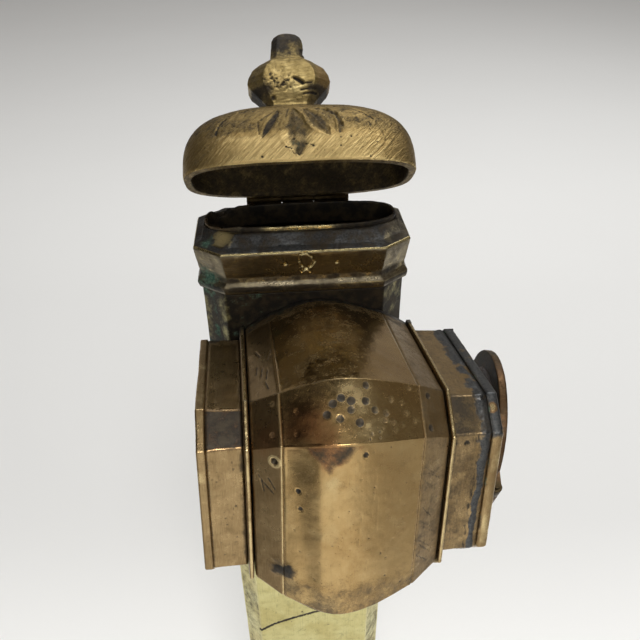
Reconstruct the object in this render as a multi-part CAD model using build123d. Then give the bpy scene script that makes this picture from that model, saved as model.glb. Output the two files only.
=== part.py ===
from build123d import *
import math
import os

# Scribe's brass pen case with an ink pot soldered to its front face.
# Units are millimetres. +Z runs up the pen tube towards its mouth, +X is the
# side the ink pot's mouth points to, and the ink pot stands on the front (-Y).
# The origin is the centre of the flat underside of the tail plate.

os.makedirs("parts", exist_ok=True)

# ---- shared sizes -----------------------------------------------------------
collar_top_z = 232.0          # the collar's top edge, the level most heights hang from
collar_height = 8.4           # from the butt joint with the tube to the edge
butt_z = collar_top_z - collar_height

tube_half_w = 18.4            # half width of the tube just under the collar
tube_half_d = 8.8             # half depth there
tube_corner_w = 4.2           # width of the corner facets, along X
tube_corner_d = 4.9           # depth of the corner facets, along Y
tail_plate_thick = 1.6
tube_low_z = tail_plate_thick
front_y = -tube_half_d        # front face of the tube

collar_half_w = 19.0
collar_half_d = 9.4

oval_power = 3.0              # superellipse power of the lip's and cap's plan
oval_points = 40              # spline points round each oval

cut_overrun = 1.0             # how far a lofted cutter runs past what it cuts
hinge_running_gap = 0.05      # bore over pin, on the radius
facet_slope = math.tan(math.radians(22.5))   # facet lost per unit of octagon inset


# ---- helpers ----------------------------------------------------------------
def facet_wire(z, half_w, half_d, corner_w, corner_d):
    """rectangle with cut corners"""
    flat_x = half_w - corner_w
    flat_y = half_d - corner_d
    points = [(flat_x, -half_d), (half_w, -flat_y), (half_w, flat_y), (flat_x, half_d),
              (-flat_x, half_d), (-half_w, flat_y), (-half_w, -flat_y), (-flat_x, -half_d)]
    return Wire.make_polygon([Vector(x, y, z) for x, y in points], close=True)


def facet_loft(sections, base_z=0.0):
    """sections: (z above base_z, half width, half depth, corner width, corner depth)"""
    return Solid.make_loft([facet_wire(base_z + z, *sizes) for z, *sizes in sections], True)


def octagon_loft(stations, inset=0.0):
    """stations: (station, half across flats, half facet) of a square with cut corners"""
    sections = []
    for station, across, facet in stations:
        half = across - inset
        corner = half - (facet - inset * facet_slope)
        sections.append((station, half, half, corner, corner))
    return facet_loft(sections)


def oval_wire(half_w, half_d, z):
    points = []
    for i in range(oval_points):
        angle = 2 * math.pi * i / oval_points
        c, s = math.cos(angle), math.sin(angle)
        points.append(Vector(half_w * math.copysign(abs(c) ** (2 / oval_power), c),
                             half_d * math.copysign(abs(s) ** (2 / oval_power), s), z))
    return Wire([Edge.make_spline(points, periodic=True)])


def oval_prism(half_w, half_d, z, height):
    return Solid.extrude(Face(oval_wire(half_w, half_d, z)), Vector(0, 0, height))


def block(*spans):
    """box between (low, high) limits along x, y and z"""
    centre = [(low + high) / 2 for low, high in spans]
    return Pos(*centre) * Box(*[high - low for low, high in spans])


def largest_solid(shape):
    return max(shape.solids(), key=lambda solid: solid.volume)


def save(name, *shapes):
    found = [solid for shape in shapes for solid in shape.solids()]
    body = found[0] if len(found) == 1 else Compound(children=found)
    body.label = name
    export_step(body, "parts/" + name + ".step")


# ---- pen tube: folded sheet with cut corners, open both ends ----------------
tube_tail_half_w = 18.0       # the tube narrows very slightly to the tail
tube_tail_half_d = 8.5
tube_wall = 1.0


def tube_section(z, grow=0.0):
    """the tube's outer section at height z, grown outwards"""
    k = (z - tube_low_z) / (butt_z - tube_low_z)
    return (z,
            tube_tail_half_w + (tube_half_w - tube_tail_half_w) * k + grow,
            tube_tail_half_d + (tube_half_d - tube_tail_half_d) * k + grow,
            tube_corner_w + 0.4 * grow,
            tube_corner_d + 0.4 * grow)


def tube_bore(z):
    """sizes of the tube's inner section at height z"""
    _, half_w, half_d, corner_w, corner_d = tube_section(z)
    return (half_w - tube_wall, half_d - tube_wall,
            corner_w - 0.35 * tube_wall, corner_d - 0.45 * tube_wall)


tube_outer = facet_loft([tube_section(tube_low_z), tube_section(butt_z)])
tube_inner = facet_loft([(tube_low_z - cut_overrun, *tube_bore(tube_low_z)),
                         (butt_z + cut_overrun, *tube_bore(butt_z))])
save("pen_tube", largest_solid(tube_outer - tube_inner))

# ---- tail: closing plate and the moulded band round it ----------------------
tail_bevel = 0.4              # the plate's lower edge is drawn in by this
tail_bevel_height = 0.5
tail_band_height = 5.0

tail_corner = (tube_corner_w, tube_corner_d)
save("tail_plate", facet_loft([
    (0, tube_tail_half_w - tail_bevel, tube_tail_half_d - tail_bevel, *tail_corner),
    (tail_bevel_height, tube_tail_half_w, tube_tail_half_d, *tail_corner),
    (tail_plate_thick, tube_tail_half_w, tube_tail_half_d, *tail_corner)]))

# (height above the tail plate, how far the band stands out from the tube)
band_profile = [(0.1, 0.45), (0.7, 0.85), (1.6, 0.85), (2.3, 0.5),
                (tail_band_height - 1.4, 0.5), (tail_band_height - 0.9, 0.8),
                (tail_band_height - 0.5, 0.8), (tail_band_height, 0.35)]
band_outer = facet_loft([tube_section(tube_low_z + z, grow) for z, grow in band_profile])
band_inner = facet_loft([tube_section(tube_low_z - cut_overrun),
                         tube_section(tube_low_z + tail_band_height + cut_overrun)])
save("tail_band", largest_solid(band_outer - band_inner))

# ---- mouth collar: moulded casting standing on the tube ---------------------
collar_corner_w = 4.8
collar_corner_d = 3.6
collar_cavity_half_w = 17.4
collar_cavity_half_d = 7.8
lip_half_w = 17.1
lip_half_d = 5.1
lip_hole_gap = 0.01           # the lip's hole is inset from its nominal outline
lip_hole_depth = 3.4          # below the collar's edge
lip_hole_height = 6.2

# (height from the collar's top edge, inset from its half sizes)
collar_profile = [(-collar_height, 0.45), (-7.6, 0.12), (-6.7, 0.10), (-6.1, 0.50), (-5.1, 0.62),
                  (-4.3, 0.45), (-0.9, 0.0), (-0.35, -0.05), (0.0, 0.15)]
collar_outer = facet_loft([(z, collar_half_w - inset, collar_half_d - inset,
                            collar_corner_w, collar_corner_d) for z, inset in collar_profile],
                          collar_top_z)
# sloping shoulder from an inset of the edge up to the lip, columns as in facet_loft
shoulder = facet_loft([
    (-0.5, 18.8, 9.2, 4.8, 3.6), (-0.02, 18.8, 9.2, 4.8, 3.6), (0.3, 17.6, 7.5, 4.7, 3.3),
    (1.0, 17.4, 6.6, 5.1, 3.3), (1.75, 17.3, 5.6, 6.0, 3.4)], collar_top_z)
collar_cavity = facet_loft([
    (-collar_height - cut_overrun, collar_cavity_half_w, collar_cavity_half_d, 3.85, 4.45),
    (-4.5, collar_cavity_half_w, collar_cavity_half_d, 3.85, 4.45),
    (-1.6, 16.2, 5.4, 4.2, 3.4)], collar_top_z)
lip_hole = oval_prism(lip_half_w - lip_hole_gap, lip_half_d - lip_hole_gap,
                      collar_top_z - lip_hole_depth, lip_hole_height)
save("mouth_collar", largest_solid(collar_outer + shoulder - collar_cavity - lip_hole))

# ---- mouth lip: thin oval spigot the cap closes over ------------------------
lip_wall = 0.6
lip_rise = 2.55               # top of the lip above the collar's edge
lip_depth = 1.55              # foot of the lip below the collar's edge
lip_fit = 0.03                # the lip's outside is inset from its nominal outline

lip_low_z = collar_top_z - lip_depth
lip_outer = oval_prism(lip_half_w - lip_fit, lip_half_d - lip_fit, lip_low_z,
                       lip_rise + lip_depth)
lip_inner = oval_prism(lip_half_w - lip_wall, lip_half_d - lip_wall, lip_low_z - 1, lip_rise + 4)
# a corner of the lip is broken away at the back left
lip_break = Pos(-15.6, 3.6, collar_top_z + lip_rise + 0.35) * Rot(12, -18, 0) * Box(3.4, 4.2, 1.9)
save("mouth_lip", largest_solid(lip_outer - lip_inner - lip_break))

# ---- cap hinge: fixed leaf, its rivets and the pin --------------------------
cap_rim_z = collar_top_z + 0.45   # the closed cap's rim, clear of the collar's edge
hinge_y = 11.05                   # hinge axis, behind the collar
hinge_z = cap_rim_z               # and level with the closed cap's rim
hinge_knuckle_r = 1.15
hinge_pin_r = 0.60
leaf_thick = 0.7
leaf_half_w = 9.2
leaf_gap = 0.07                   # leaf plate behind the collar's back
knuckle_gap_half_w = 3.2          # half the gap between the two fixed knuckles
leaf_rivet_x = 6.2
leaf_rivet_r = 0.75
rivet_height = 0.4
pin_half_length = 9.7
pin_head_x = 9.55
pin_head_half = 0.3
pin_head_r = 0.95


def hinge_rod(x0, x1, radius):
    return Solid.make_cylinder(radius, x1 - x0,
                               Plane(origin=(x0, hinge_y, hinge_z), z_dir=(1, 0, 0)))


leaf_front_y = collar_half_d + leaf_gap
leaf_back_y = leaf_front_y + leaf_thick
collar_leaf = block((-leaf_half_w, leaf_half_w), (leaf_front_y, leaf_back_y),
                    (collar_top_z - 4.1, collar_top_z - 0.8))
for x0, x1 in ((-leaf_half_w, -knuckle_gap_half_w), (knuckle_gap_half_w, leaf_half_w)):
    web = block((x0, x1), (leaf_front_y, hinge_y), (collar_top_z - 2.0, collar_top_z + 0.3))
    collar_leaf = collar_leaf + hinge_rod(x0, x1, hinge_knuckle_r) + web
collar_leaf = collar_leaf - hinge_rod(-12, 12, hinge_pin_r)
# the strip of plate between the two knuckles stays low, clear of the middle knuckle
collar_leaf = collar_leaf - Pos(0, hinge_y, hinge_z) * Box(2 * knuckle_gap_half_w, 3.2, 3.4)
save("collar_hinge_leaf", largest_solid(collar_leaf))

save("collar_leaf_rivets", *[
    Pos(x, leaf_back_y + rivet_height / 2, collar_top_z - 3.25) * Rot(90, 0, 0)
    * Cylinder(leaf_rivet_r, rivet_height) for x in (-leaf_rivet_x, leaf_rivet_x)])

hinge_pin = hinge_rod(-pin_half_length, pin_half_length, hinge_pin_r)
for x in (-pin_head_x, pin_head_x):
    hinge_pin = hinge_pin + hinge_rod(x - pin_head_half, x + pin_head_half, pin_head_r)
save("cap_hinge_pin", largest_solid(hinge_pin))

# ---- cap: built closed, then swung open about its hinge ---------------------
cap_open_angle = 41.0         # how far the cap stands open at rest
cap_half_w = 20.5
cap_half_d = 9.8
cap_shift_x = 0.3             # the cap sits a little to the right of the collar
cap_wall = 1.35
cap_dome_h = 12.2             # height at which the dome's curve would close
cap_flat_h = 12.0             # height of the small flat under the finial
cap_ceiling_h = cap_flat_h - cap_wall - 0.2
cap_dome_power = 3.1
# heights of the dome's sections, as fractions of the flat's height
dome_steps = (0.0, 0.22, 0.40, 0.55, 0.68, 0.79, 0.88, 0.945, 1.0)
finial_shift_x = -1.15        # the finial stands a little left of the cap's middle
tang_r = 1.5
tang_head_r = 2.4
tang_head_height = 0.9
cap_leaf_half_w = 2.95
cap_leaf_gap = 0.03           # leaf plate behind the cap's back

cap_flat_z = cap_rim_z + cap_flat_h


def dome(half_w, half_d, height, flat_height, base_z):
    wires = []
    for step in dome_steps:
        rise = step * flat_height
        scale = (1 - (rise / height) ** cap_dome_power) ** (1 / cap_dome_power)
        wires.append(oval_wire(half_w * scale, half_d * scale, base_z + rise))
    return Solid.make_loft(wires, False)


cap_swing = (Pos(0, hinge_y, hinge_z) * Rot(-cap_open_angle, 0, 0)
             * Pos(0, -hinge_y, -hinge_z))
cap_place = cap_swing * Pos(cap_shift_x, 0, 0)
finial_place = cap_place * Pos(finial_shift_x, 0, 0)

cavity_half_w = cap_half_w - cap_wall
cavity_half_d = cap_half_d - cap_wall
cap_outer = dome(cap_half_w, cap_half_d, cap_dome_h, cap_flat_h, cap_rim_z)
cap_inner = dome(cavity_half_w, cavity_half_d, cap_dome_h - cap_wall, cap_ceiling_h,
                 cap_rim_z - 0.001)
# straight cutter that opens the cavity cleanly through the rim
cap_mouth = oval_prism(cavity_half_w, cavity_half_d, cap_rim_z - 2, 2.3)
tang_hole = Pos(finial_shift_x, 0, cap_flat_z) * Cylinder(tang_r, 5)
save("cap_shell", cap_place * largest_solid(cap_outer - (cap_inner + cap_mouth + tang_hole)))

# heights above the cap's flat, columns as in facet_loft
finial_body = facet_loft([
    (0.0, 4.2, 3.0, 1.2, 1.1), (1.2, 4.15, 2.95, 1.2, 1.1), (1.5, 4.35, 3.1, 1.3, 1.2),
    (4.0, 6.8, 4.15, 2.5, 2.0), (5.1, 7.4, 4.4, 2.8, 2.2), (6.2, 7.2, 4.35, 2.8, 2.2),
    (7.6, 6.5, 4.0, 2.6, 2.0), (8.6, 5.3, 3.6, 2.2, 1.8), (9.2, 4.3, 3.2, 1.7, 1.5),
    (9.8, 3.05, 2.75, 1.0, 1.0), (13.2, 2.75, 2.6, 1.0, 1.0), (14.2, 2.35, 2.2, 0.9, 0.9),
    (14.95, 1.3, 1.2, 0.5, 0.5)], cap_flat_z)
finial = largest_solid(finial_body - Pos(0, 0, cap_flat_z) * Cylinder(tang_r, 10.6))
save("cap_finial", finial_place * finial)

# tang: rod from inside the cap up into the finial, with a disc head under the ceiling
tang_head_z = cap_rim_z + cap_ceiling_h - 0.02 - tang_head_height / 2
tang = (Pos(0, 0, cap_flat_z + 1.2) * Cylinder(tang_r, 7.8)
        + Pos(0, 0, tang_head_z) * Cylinder(tang_head_r, tang_head_height))
save("cap_finial_tang", finial_place * largest_solid(tang))

cap_leaf_x = (-cap_leaf_half_w, cap_leaf_half_w)
cap_leaf_y = cap_half_d + cap_leaf_gap
hinge_top_z = hinge_z + hinge_knuckle_r
cap_leaf = block(cap_leaf_x, (cap_leaf_y, cap_leaf_y + leaf_thick),
                 (cap_rim_z + 0.5, cap_rim_z + 5.0))
cap_leaf = cap_leaf + hinge_rod(*cap_leaf_x, hinge_knuckle_r)
cap_leaf = cap_leaf + block(cap_leaf_x, (cap_leaf_y, hinge_y),
                            (hinge_top_z - leaf_thick, hinge_top_z))
cap_leaf = cap_leaf - hinge_rod(-5, 5, hinge_pin_r + hinge_running_gap)
save("cap_hinge_leaf", cap_swing * largest_solid(cap_leaf))

# ---- ink pot, in the pot's own frame ----------------------------------------
# pot frame: +Z is the pot's axis towards its mouth, +X points at the pen tube
# and +Y points up the pen tube; it sits a little crooked on the case.
pot_centre_x = 3.0
pot_stand_off = 15.78         # pot's origin in front of the tube's front face
pot_drop = 30.5               # pot's origin below the collar's top edge
pot_nose_up = 9.1             # degrees, front of the pot tips up
pot_slope = 2.5               # degrees, mouth end sits lower
pot_skew = 2.4                # degrees, mouth end sits nearer the case
pot_base_s = -22.1            # stations along the pot's axis
pot_base_plate_s = -20.7
pot_base_ridge_s = -14.7
pot_base_seam_s = -9.8
pot_belly_s = -1.0
pot_mouth_seam_s = 10.8
pot_mouth_ridge_s = 16.0
pot_mouth_plate_s = 22.7
pot_mouth_s = 24.5
rim_across, rim_facet = 15.9, 11.4       # half across flats, half facet
drum_across, drum_facet = 15.5, 11.4
ridge_across, ridge_facet = 17.4, 12.3
seam_across, seam_facet = 19.8, 14.3
belly_across, belly_facet = 22.7, 16.1
belly_power = 1.15            # shapes the swell from seam to belly
pot_wall = 1.1
ridge_half = 0.55             # half a ridge's length along the axis
ridge_crest_half = 0.35
back_plate_thick = 1.2
back_plate_gap = 0.02         # back plate in front of the tube
ink_mouth_r = 7.0
neck_wall = 1.1
neck_low_s = 19.9
neck_proud = 0.12             # neck beyond the mouth plate
ink_lid_off_x = 1.6           # centre of the ink mouth and lid off the pot's axis
ink_lid_off_y = 1.7

pot_centre_z = collar_top_z - pot_drop
pot_place = (Pos(pot_centre_x, front_y - pot_stand_off, pot_centre_z)
             * Rot(0, 0, pot_skew) * Rot(0, pot_slope, 0) * Rot(-pot_nose_up, 0, 0)
             * Plane(origin=(0, 0, 0), x_dir=(0, 1, 0), z_dir=(1, 0, 0)).location)


def swell(seam_s, fraction):
    """station a fraction of the way from a seam to the belly's widest place"""
    bulge = math.sin(fraction * math.pi / 2) ** belly_power
    return (seam_s + (pot_belly_s - seam_s) * fraction,
            seam_across + (belly_across - seam_across) * bulge,
            seam_facet + (belly_facet - seam_facet) * bulge)


def pot_shell(stations):
    """solid outside and hollow wall of one length of the pot"""
    outer = octagon_loft(stations)
    first, last = stations[0], stations[-1]
    inner = octagon_loft([(first[0] - cut_overrun, *first[1:]), *stations,
                          (last[0] + cut_overrun, *last[1:])], pot_wall)
    return outer, outer - inner


def pot_ridge(s):
    """solid outside and hollow ring of the ridge at station s"""
    root = (ridge_across - 0.5, ridge_facet - 0.2)
    crest = (ridge_across + 0.25, ridge_facet + 0.1)
    outer = octagon_loft([(s - ridge_half, *root), (s - ridge_crest_half, *crest),
                          (s + ridge_crest_half, *crest), (s + ridge_half, *root)])
    inner = octagon_loft([(s - 3, drum_across, drum_facet),
                          (s + 3, drum_across, drum_facet)], pot_wall)
    return outer, outer - inner


def pot_end_plate(s0, s1):
    return octagon_loft([(s0, rim_across, rim_facet), (s1, rim_across, rim_facet)])


band_end = (ridge_across - 0.2, ridge_facet - 0.1)    # where a band meets its ridge
base_plate = pot_end_plate(pot_base_s, pot_base_plate_s)
mouth_plate = pot_end_plate(pot_mouth_plate_s, pot_mouth_s)
mouth_hole = (Pos(ink_lid_off_x, ink_lid_off_y, (pot_mouth_plate_s + pot_mouth_s) / 2)
              * Cylinder(ink_mouth_r + neck_wall, 8))

# name: (solid outside, finished piece before the back is cut away)
pot_pieces = {
    "pot_base_drum": pot_shell([
        (pot_base_plate_s, rim_across - 0.15, rim_facet - 0.1),
        (pot_base_plate_s + 1.4, drum_across + 0.1, drum_facet),
        (pot_base_ridge_s - ridge_half, drum_across, drum_facet)]),
    "pot_base_band": pot_shell([
        (pot_base_ridge_s + ridge_half, *band_end),
        (pot_base_seam_s, seam_across, seam_facet)]),
    "pot_belly": pot_shell(
        [swell(pot_base_seam_s, k) for k in (0.0, 0.2, 0.45, 0.72, 1.0)]
        + [swell(pot_mouth_seam_s, k) for k in (0.75, 0.5, 0.22, 0.0)]),
    "pot_mouth_band": pot_shell([
        (pot_mouth_seam_s, seam_across, seam_facet),
        (pot_mouth_ridge_s - ridge_half, *band_end)]),
    "pot_mouth_drum": pot_shell([
        (pot_mouth_ridge_s + ridge_half, drum_across + 0.35, drum_facet + 0.1),
        (pot_mouth_plate_s, drum_across + 0.1, drum_facet)]),
    "pot_base_ridge": pot_ridge(pot_base_ridge_s),
    "pot_mouth_ridge": pot_ridge(pot_mouth_ridge_s),
    "pot_base_plate": (base_plate, base_plate),
    "pot_mouth_plate": (mouth_plate, mouth_plate - mouth_hole),
}


def space_before(back_y):
    """everything round the pot in front of the plane y = back_y"""
    return block((-60, 60), (back_y - 80, back_y), (pot_centre_z - 60, pot_centre_z + 60))


# everything of the pot behind this plane is cut away and closed by a flat plate
plate_front_y = front_y - back_plate_thick
keep_front = space_before(plate_front_y)
for name, (outer, piece) in pot_pieces.items():
    save(name, largest_solid((pot_place * piece) & keep_front))

# back plate: the pot's solid outsides where they cross a thin slab
plate_slab = block((-60, 60), (plate_front_y, front_y - back_plate_gap),
                   (pot_centre_z - 60, pot_centre_z + 60))
slices = [(pot_place * outer) & plate_slab for outer, piece in pot_pieces.values()]
back_plate = slices[0]
for piece_slice in slices[1:]:
    back_plate = back_plate + piece_slice
save("pot_back_plate", largest_solid(back_plate))

# ring lining the ink mouth, standing just proud of the end plate
neck_top_s = pot_mouth_s + neck_proud
neck = Pos(ink_lid_off_x, ink_lid_off_y, 0) * (
    Pos(0, 0, (neck_low_s + neck_top_s) / 2)
    * Cylinder(ink_mouth_r + neck_wall - 0.01, neck_top_s - neck_low_s)
    - Pos(0, 0, 22) * Cylinder(ink_mouth_r, 12))
save("ink_mouth_neck", largest_solid(pot_place * neck))

# ---- solder: a three-sided bead up each front corner of the tube ------------
solder_drop = 12.5            # lower end below the pot's centre
solder_length = 23.5
# (x outwards from the edge of the tube's flat front, y behind the front face)
solder_profile = [(0.12, 0.03), (2.1, 0.03), (1.12, 1.05)]

flat_edge_x = tube_half_w - tube_corner_w
solder = []
for side in (-1, 1):
    wire = Wire.make_polygon([Vector(side * (flat_edge_x + x), front_y + y,
                                     pot_centre_z - solder_drop)
                              for x, y in solder_profile], close=True)
    solder.append(Solid.extrude(Face(wire), Vector(0, 0, solder_length)))
save("pot_solder_seams", *solder)

# ---- ink lid: disc, sealing pad, strap and hinge, in the lid's frame --------
# lid frame: the pot's, moved to the ink mouth and turned; the hinge is on its -X side
ink_lid_r = 13.2
ink_lid_thick = 1.4
ink_lid_open_angle = 9.6      # how far the small lid stands open at rest
ink_lid_turn = 26.9           # turns the lid's hinge round the pot's axis
ink_lid_seat_s = 25.15        # inner face of the closed lid
ink_hinge_x = -14.55
ink_hinge_s = 25.75
ink_knuckle_r = 1.05
ink_pin_r = 0.50
ink_pin_half_length = 4.7
pad_r = 10.2
pad_thick = 0.38
strap_half_w = 2.0
strap_thick = 0.9
ear_inner_y = 2.15
ear_outer_y = 4.4
ear_foot_half = 0.95
ink_rivet_r = 0.8

lid_frame = pot_place * Location((ink_lid_off_x, ink_lid_off_y, 0), (0, 0, ink_lid_turn))
lid_place = (lid_frame * Pos(ink_hinge_x, 0, ink_hinge_s) * Rot(0, -ink_lid_open_angle, 0)
             * Pos(-ink_hinge_x, 0, -ink_hinge_s))


def ink_hinge_rod(y0, y1, radius):
    return Solid.make_cylinder(radius, y1 - y0,
                               Plane(origin=(ink_hinge_x, y0, ink_hinge_s), z_dir=(0, 1, 0)))


disc = Pos(0, 0, ink_lid_seat_s + ink_lid_thick / 2) * Cylinder(ink_lid_r, ink_lid_thick)
# notch that clears the hinge
disc = disc - Pos(ink_hinge_x, 0, ink_hinge_s) * Box(5.0, 9.4, 6)
save("ink_lid_disc", lid_place * largest_solid(disc))
save("ink_lid_pad", lid_place * (Pos(0, 0, ink_lid_seat_s - 0.2) * Cylinder(pad_r, pad_thick)))

# strap: moving knuckle, flat over the lid, and the piece that joins them
strap_y = (-strap_half_w, strap_half_w)
strap_low_s = ink_lid_seat_s + ink_lid_thick + 0.03
strap_top_s = strap_low_s + strap_thick
strap = ink_hinge_rod(*strap_y, ink_knuckle_r)
strap = strap + block((ink_hinge_x + 0.8, ink_hinge_x + 10.4), strap_y,
                      (strap_low_s, strap_top_s))
strap = strap + block((ink_hinge_x, ink_hinge_x + 1.9), strap_y,
                      (ink_hinge_s + 0.33, ink_hinge_s + 0.33 + strap_thick))
strap = strap - ink_hinge_rod(-6, 6, ink_pin_r + hinge_running_gap)
save("ink_lid_strap", lid_place * largest_solid(strap))
save("ink_lid_rivet", lid_place * (Pos(ink_hinge_x + 8.2, 0, strap_top_s + rivet_height / 2)
                                   * Cylinder(ink_rivet_r, rivet_height)))

ear_low_s = pot_mouth_s + 0.02
ears = []
for y0, y1 in ((-ear_outer_y, -ear_inner_y), (ear_inner_y, ear_outer_y)):
    ear = ink_hinge_rod(y0, y1, ink_knuckle_r)
    foot = block((ink_hinge_x - ear_foot_half, ink_hinge_x + ear_foot_half), (y0, y1),
                 (ear_low_s, ink_hinge_s))
    ear = (ear + foot) - ink_hinge_rod(-6, 6, ink_pin_r)
    # the ear is flattened where it stands on the end plate
    ear = ear & block((ink_hinge_x - 5, ink_hinge_x + 5), (-10, 10), (ear_low_s, ear_low_s + 10))
    ears.append(largest_solid(ear))
save("ink_hinge_ears", *[lid_frame * ear for ear in ears])
save("ink_hinge_pin",
     lid_frame * ink_hinge_rod(-ink_pin_half_length, ink_pin_half_length, ink_pin_r))

# ---- inside the pot: the silk wad that holds the ink ------------------------
wad_s = -14.2
wad_profile = [(-5.0, 10.6), (0, 12.2), (5.0, 10.2)]   # (station from wad_s, radius)
wad_gap = 0.4                 # wad in front of the back plate

wad = Pos(0, 0, wad_s) * loft([Pos(0, 0, z) * Circle(radius) for z, radius in wad_profile])
save("ink_wad", largest_solid((pot_place * wad) & space_before(plate_front_y - wad_gap)))
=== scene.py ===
"""An aged brass pen case standing upright, with a hinged cap and an ink pot near its mouth.

The case stands on z = 0 with its mouth at the top, +Z up. X runs left to right, the front
faces -Y. The cap is swung back over the rear edge; the ink pot lies across the front face with
its axis nearly along X, its mouth and lid to the right. Sizes are in mm, meshes in metres.
"""
import bpy
import bmesh
import math
import numpy as np
from mathutils import Matrix, Vector


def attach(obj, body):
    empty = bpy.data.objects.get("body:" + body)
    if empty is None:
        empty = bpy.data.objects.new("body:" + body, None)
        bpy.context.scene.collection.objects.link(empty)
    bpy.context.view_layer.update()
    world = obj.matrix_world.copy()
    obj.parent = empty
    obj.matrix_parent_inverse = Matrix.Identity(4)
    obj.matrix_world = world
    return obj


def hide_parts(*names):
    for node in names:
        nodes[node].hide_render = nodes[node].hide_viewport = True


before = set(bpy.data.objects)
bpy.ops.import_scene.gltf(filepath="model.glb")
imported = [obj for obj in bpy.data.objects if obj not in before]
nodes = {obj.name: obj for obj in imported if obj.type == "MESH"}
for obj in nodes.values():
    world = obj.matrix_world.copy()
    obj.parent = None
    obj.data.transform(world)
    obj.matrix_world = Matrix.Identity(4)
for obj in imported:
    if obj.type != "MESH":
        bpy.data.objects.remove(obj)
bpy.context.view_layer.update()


# ---------------------------------------------------------------- dimensions (mm)
# widths (W, along x) and depths (D, along y) are half sizes; cuts are what a chamfer takes off
MM = 0.001
TOP = 232.0
TUBE_W, TUBE_D, TUBE_CUT_X, TUBE_CUT_Y = 18.4, 8.8, 4.2, 4.9
TAIL_W, TAIL_D, TAIL_Z = 18.0, 8.5, 1.6
COLLAR_W, COLLAR_D, COLLAR_CUT_X, COLLAR_CUT_Y, COLLAR_H = 19.0, 9.4, 4.8, 3.6, 8.4
TUBE_END = TOP - COLLAR_H
LIP_W, LIP_D, LIP_WALL, LIP_FOOT = 17.07, 5.07, 0.57, -1.55
CAP_W, CAP_D, CAP_H, CAP_FLAT, CAP_WALL, CAP_X = 20.5, 9.8, 12.2, 12.0, 1.35, 0.3
CAP_OPEN = 41.0  # degrees
CAP_Z = TOP + 0.45
HINGE_Y = 11.05
DOME_POWER = 3.1
SQUARENESS = 3.0  # power of the superellipse outlines
FINIAL_X = -1.15
POT_CENTRE = np.array([3.0, -(TUBE_D + 15.78), TOP - 30.5])
BACK_Y = -TUBE_D - 1.2  # plane where the pot's sheets are cut off in front of the tube
MOUTH_X, MOUTH_Y, MOUTH_R = 1.6, 1.7, 8.1  # round mouth of the pot, in the pot's frame
LID_R, LID_T, LID_SEAT = 13.2, 1.4, 25.15
LID_HINGE_X, LID_HINGE_Z, LID_OPEN = -14.55, 25.75, 9.6


# ---------------------------------------------------------------- noise and falloffs
def value_noise(points, scale, seed=0):
    """Lattice noise in -1..1 with smooth interpolation"""
    scaled = points * scale + seed * 17.137
    cell = np.floor(scaled).astype(np.int64)
    part = scaled - cell
    ease = part * part * (3 - 2 * part)

    def lattice(a, b, c):
        code = (a * 73856093) ^ (b * 19349663) ^ (c * 83492791) ^ (seed * 2654435761 + 97)
        code = (code ^ (code >> 13)) * 1274126177
        code = code ^ (code >> 16)
        return (code & 0xFFFFFF) / float(0xFFFFFF) * 2 - 1

    total = 0
    for corner in np.ndindex(2, 2, 2):
        weight = 1
        for axis, far in enumerate(corner):
            weight = weight * (ease[..., axis] if far else 1 - ease[..., axis])
        total = total + weight * lattice(*(cell[..., axis] + corner[axis] for axis in range(3)))
    return total


def fractal(points, scale, seed=0, octaves=4):
    """Octaves of value noise, each half as strong, scaled back to about -1..1"""
    total, gain, gains = 0, 1.0, 0.0
    for k in range(octaves):
        total = total + gain * value_noise(points, scale * (2 ** k), seed + k * 7)
        gains += gain
        gain *= 0.5
    return total / gains


def unit(x):
    return np.clip(x, 0, 1)


def smooth(lo, hi, x):
    """0 at lo, 1 at hi, eased; lo may be above hi"""
    t = unit((x - lo) / (hi - lo))
    return t * t * (3 - 2 * t)


def window(x, lo, full_lo, full_hi, hi):
    return smooth(lo, full_lo, x) * smooth(hi, full_hi, x)


def falloff(distance, radius):
    """1 in the middle, 0 at the radius, eased"""
    return smooth(radius, 0, distance)


def bell(x, width):
    return np.exp(-(x / width) ** 2)


def segment_offset(points, start, end):
    """Vector to every point from its nearest point on the segment"""
    start, along = np.asarray(start, float), np.subtract(end, start).astype(float)
    t = unit(((points - start) @ along) / max(float(along @ along), 1e-9))
    return points - (start + t[..., None] * along)


# ---------------------------------------------------------------- outlines and profiles
CORNER_WEIGHTS = [0.6, 0.8, 1.0, 0.8, 0.6]  # one per point of a corner's arc


def facet_ring(half_x, half_y, cut_x, cut_y, fillet, flats):
    """Chamfered rectangle with filleted corners; flats are the point counts inside its sides

    The sides run anticlockwise: 1 is +x, 3 is +y, 5 is -x, 7 is -y, even ones are chamfers.
    """
    in_x, in_y = half_x - cut_x, half_y - cut_y
    corners = [np.array(v, float) for v in (
        (in_x, -half_y), (half_x, -in_y), (half_x, in_y), (in_x, half_y),
        (-in_x, half_y), (-half_x, in_y), (-half_x, -in_y), (-in_x, -half_y))]
    arcs = []
    for i, corner in enumerate(corners):
        before, after = corner - corners[i - 1], corners[(i + 1) % 8] - corner
        len_before, len_after = np.linalg.norm(before), np.linalg.norm(after)
        before, after = before / len_before, after / len_after
        turn = math.acos(max(-1, min(1, float(before @ after))))
        reach = min(fillet * math.tan(turn / 2), 0.45 * len_before, 0.45 * len_after)
        radius = reach / math.tan(turn / 2)
        tangent = corner - before * reach
        centre = tangent + np.array([-before[1], before[0]]) * radius
        first = math.atan2(*(tangent - centre)[::-1])
        angles = first + turn * np.arange(5) / 4
        arcs.append(centre + radius * np.stack([np.cos(angles), np.sin(angles)], -1))
    ring = []
    for i, arc in enumerate(arcs):
        ring.extend(arc)
        start, end = arc[-1], arcs[(i + 1) % 8][0]
        ring += [start + (end - start) * k / (flats[i] + 1) for k in range(1, flats[i] + 1)]
    return np.array(ring)


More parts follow.
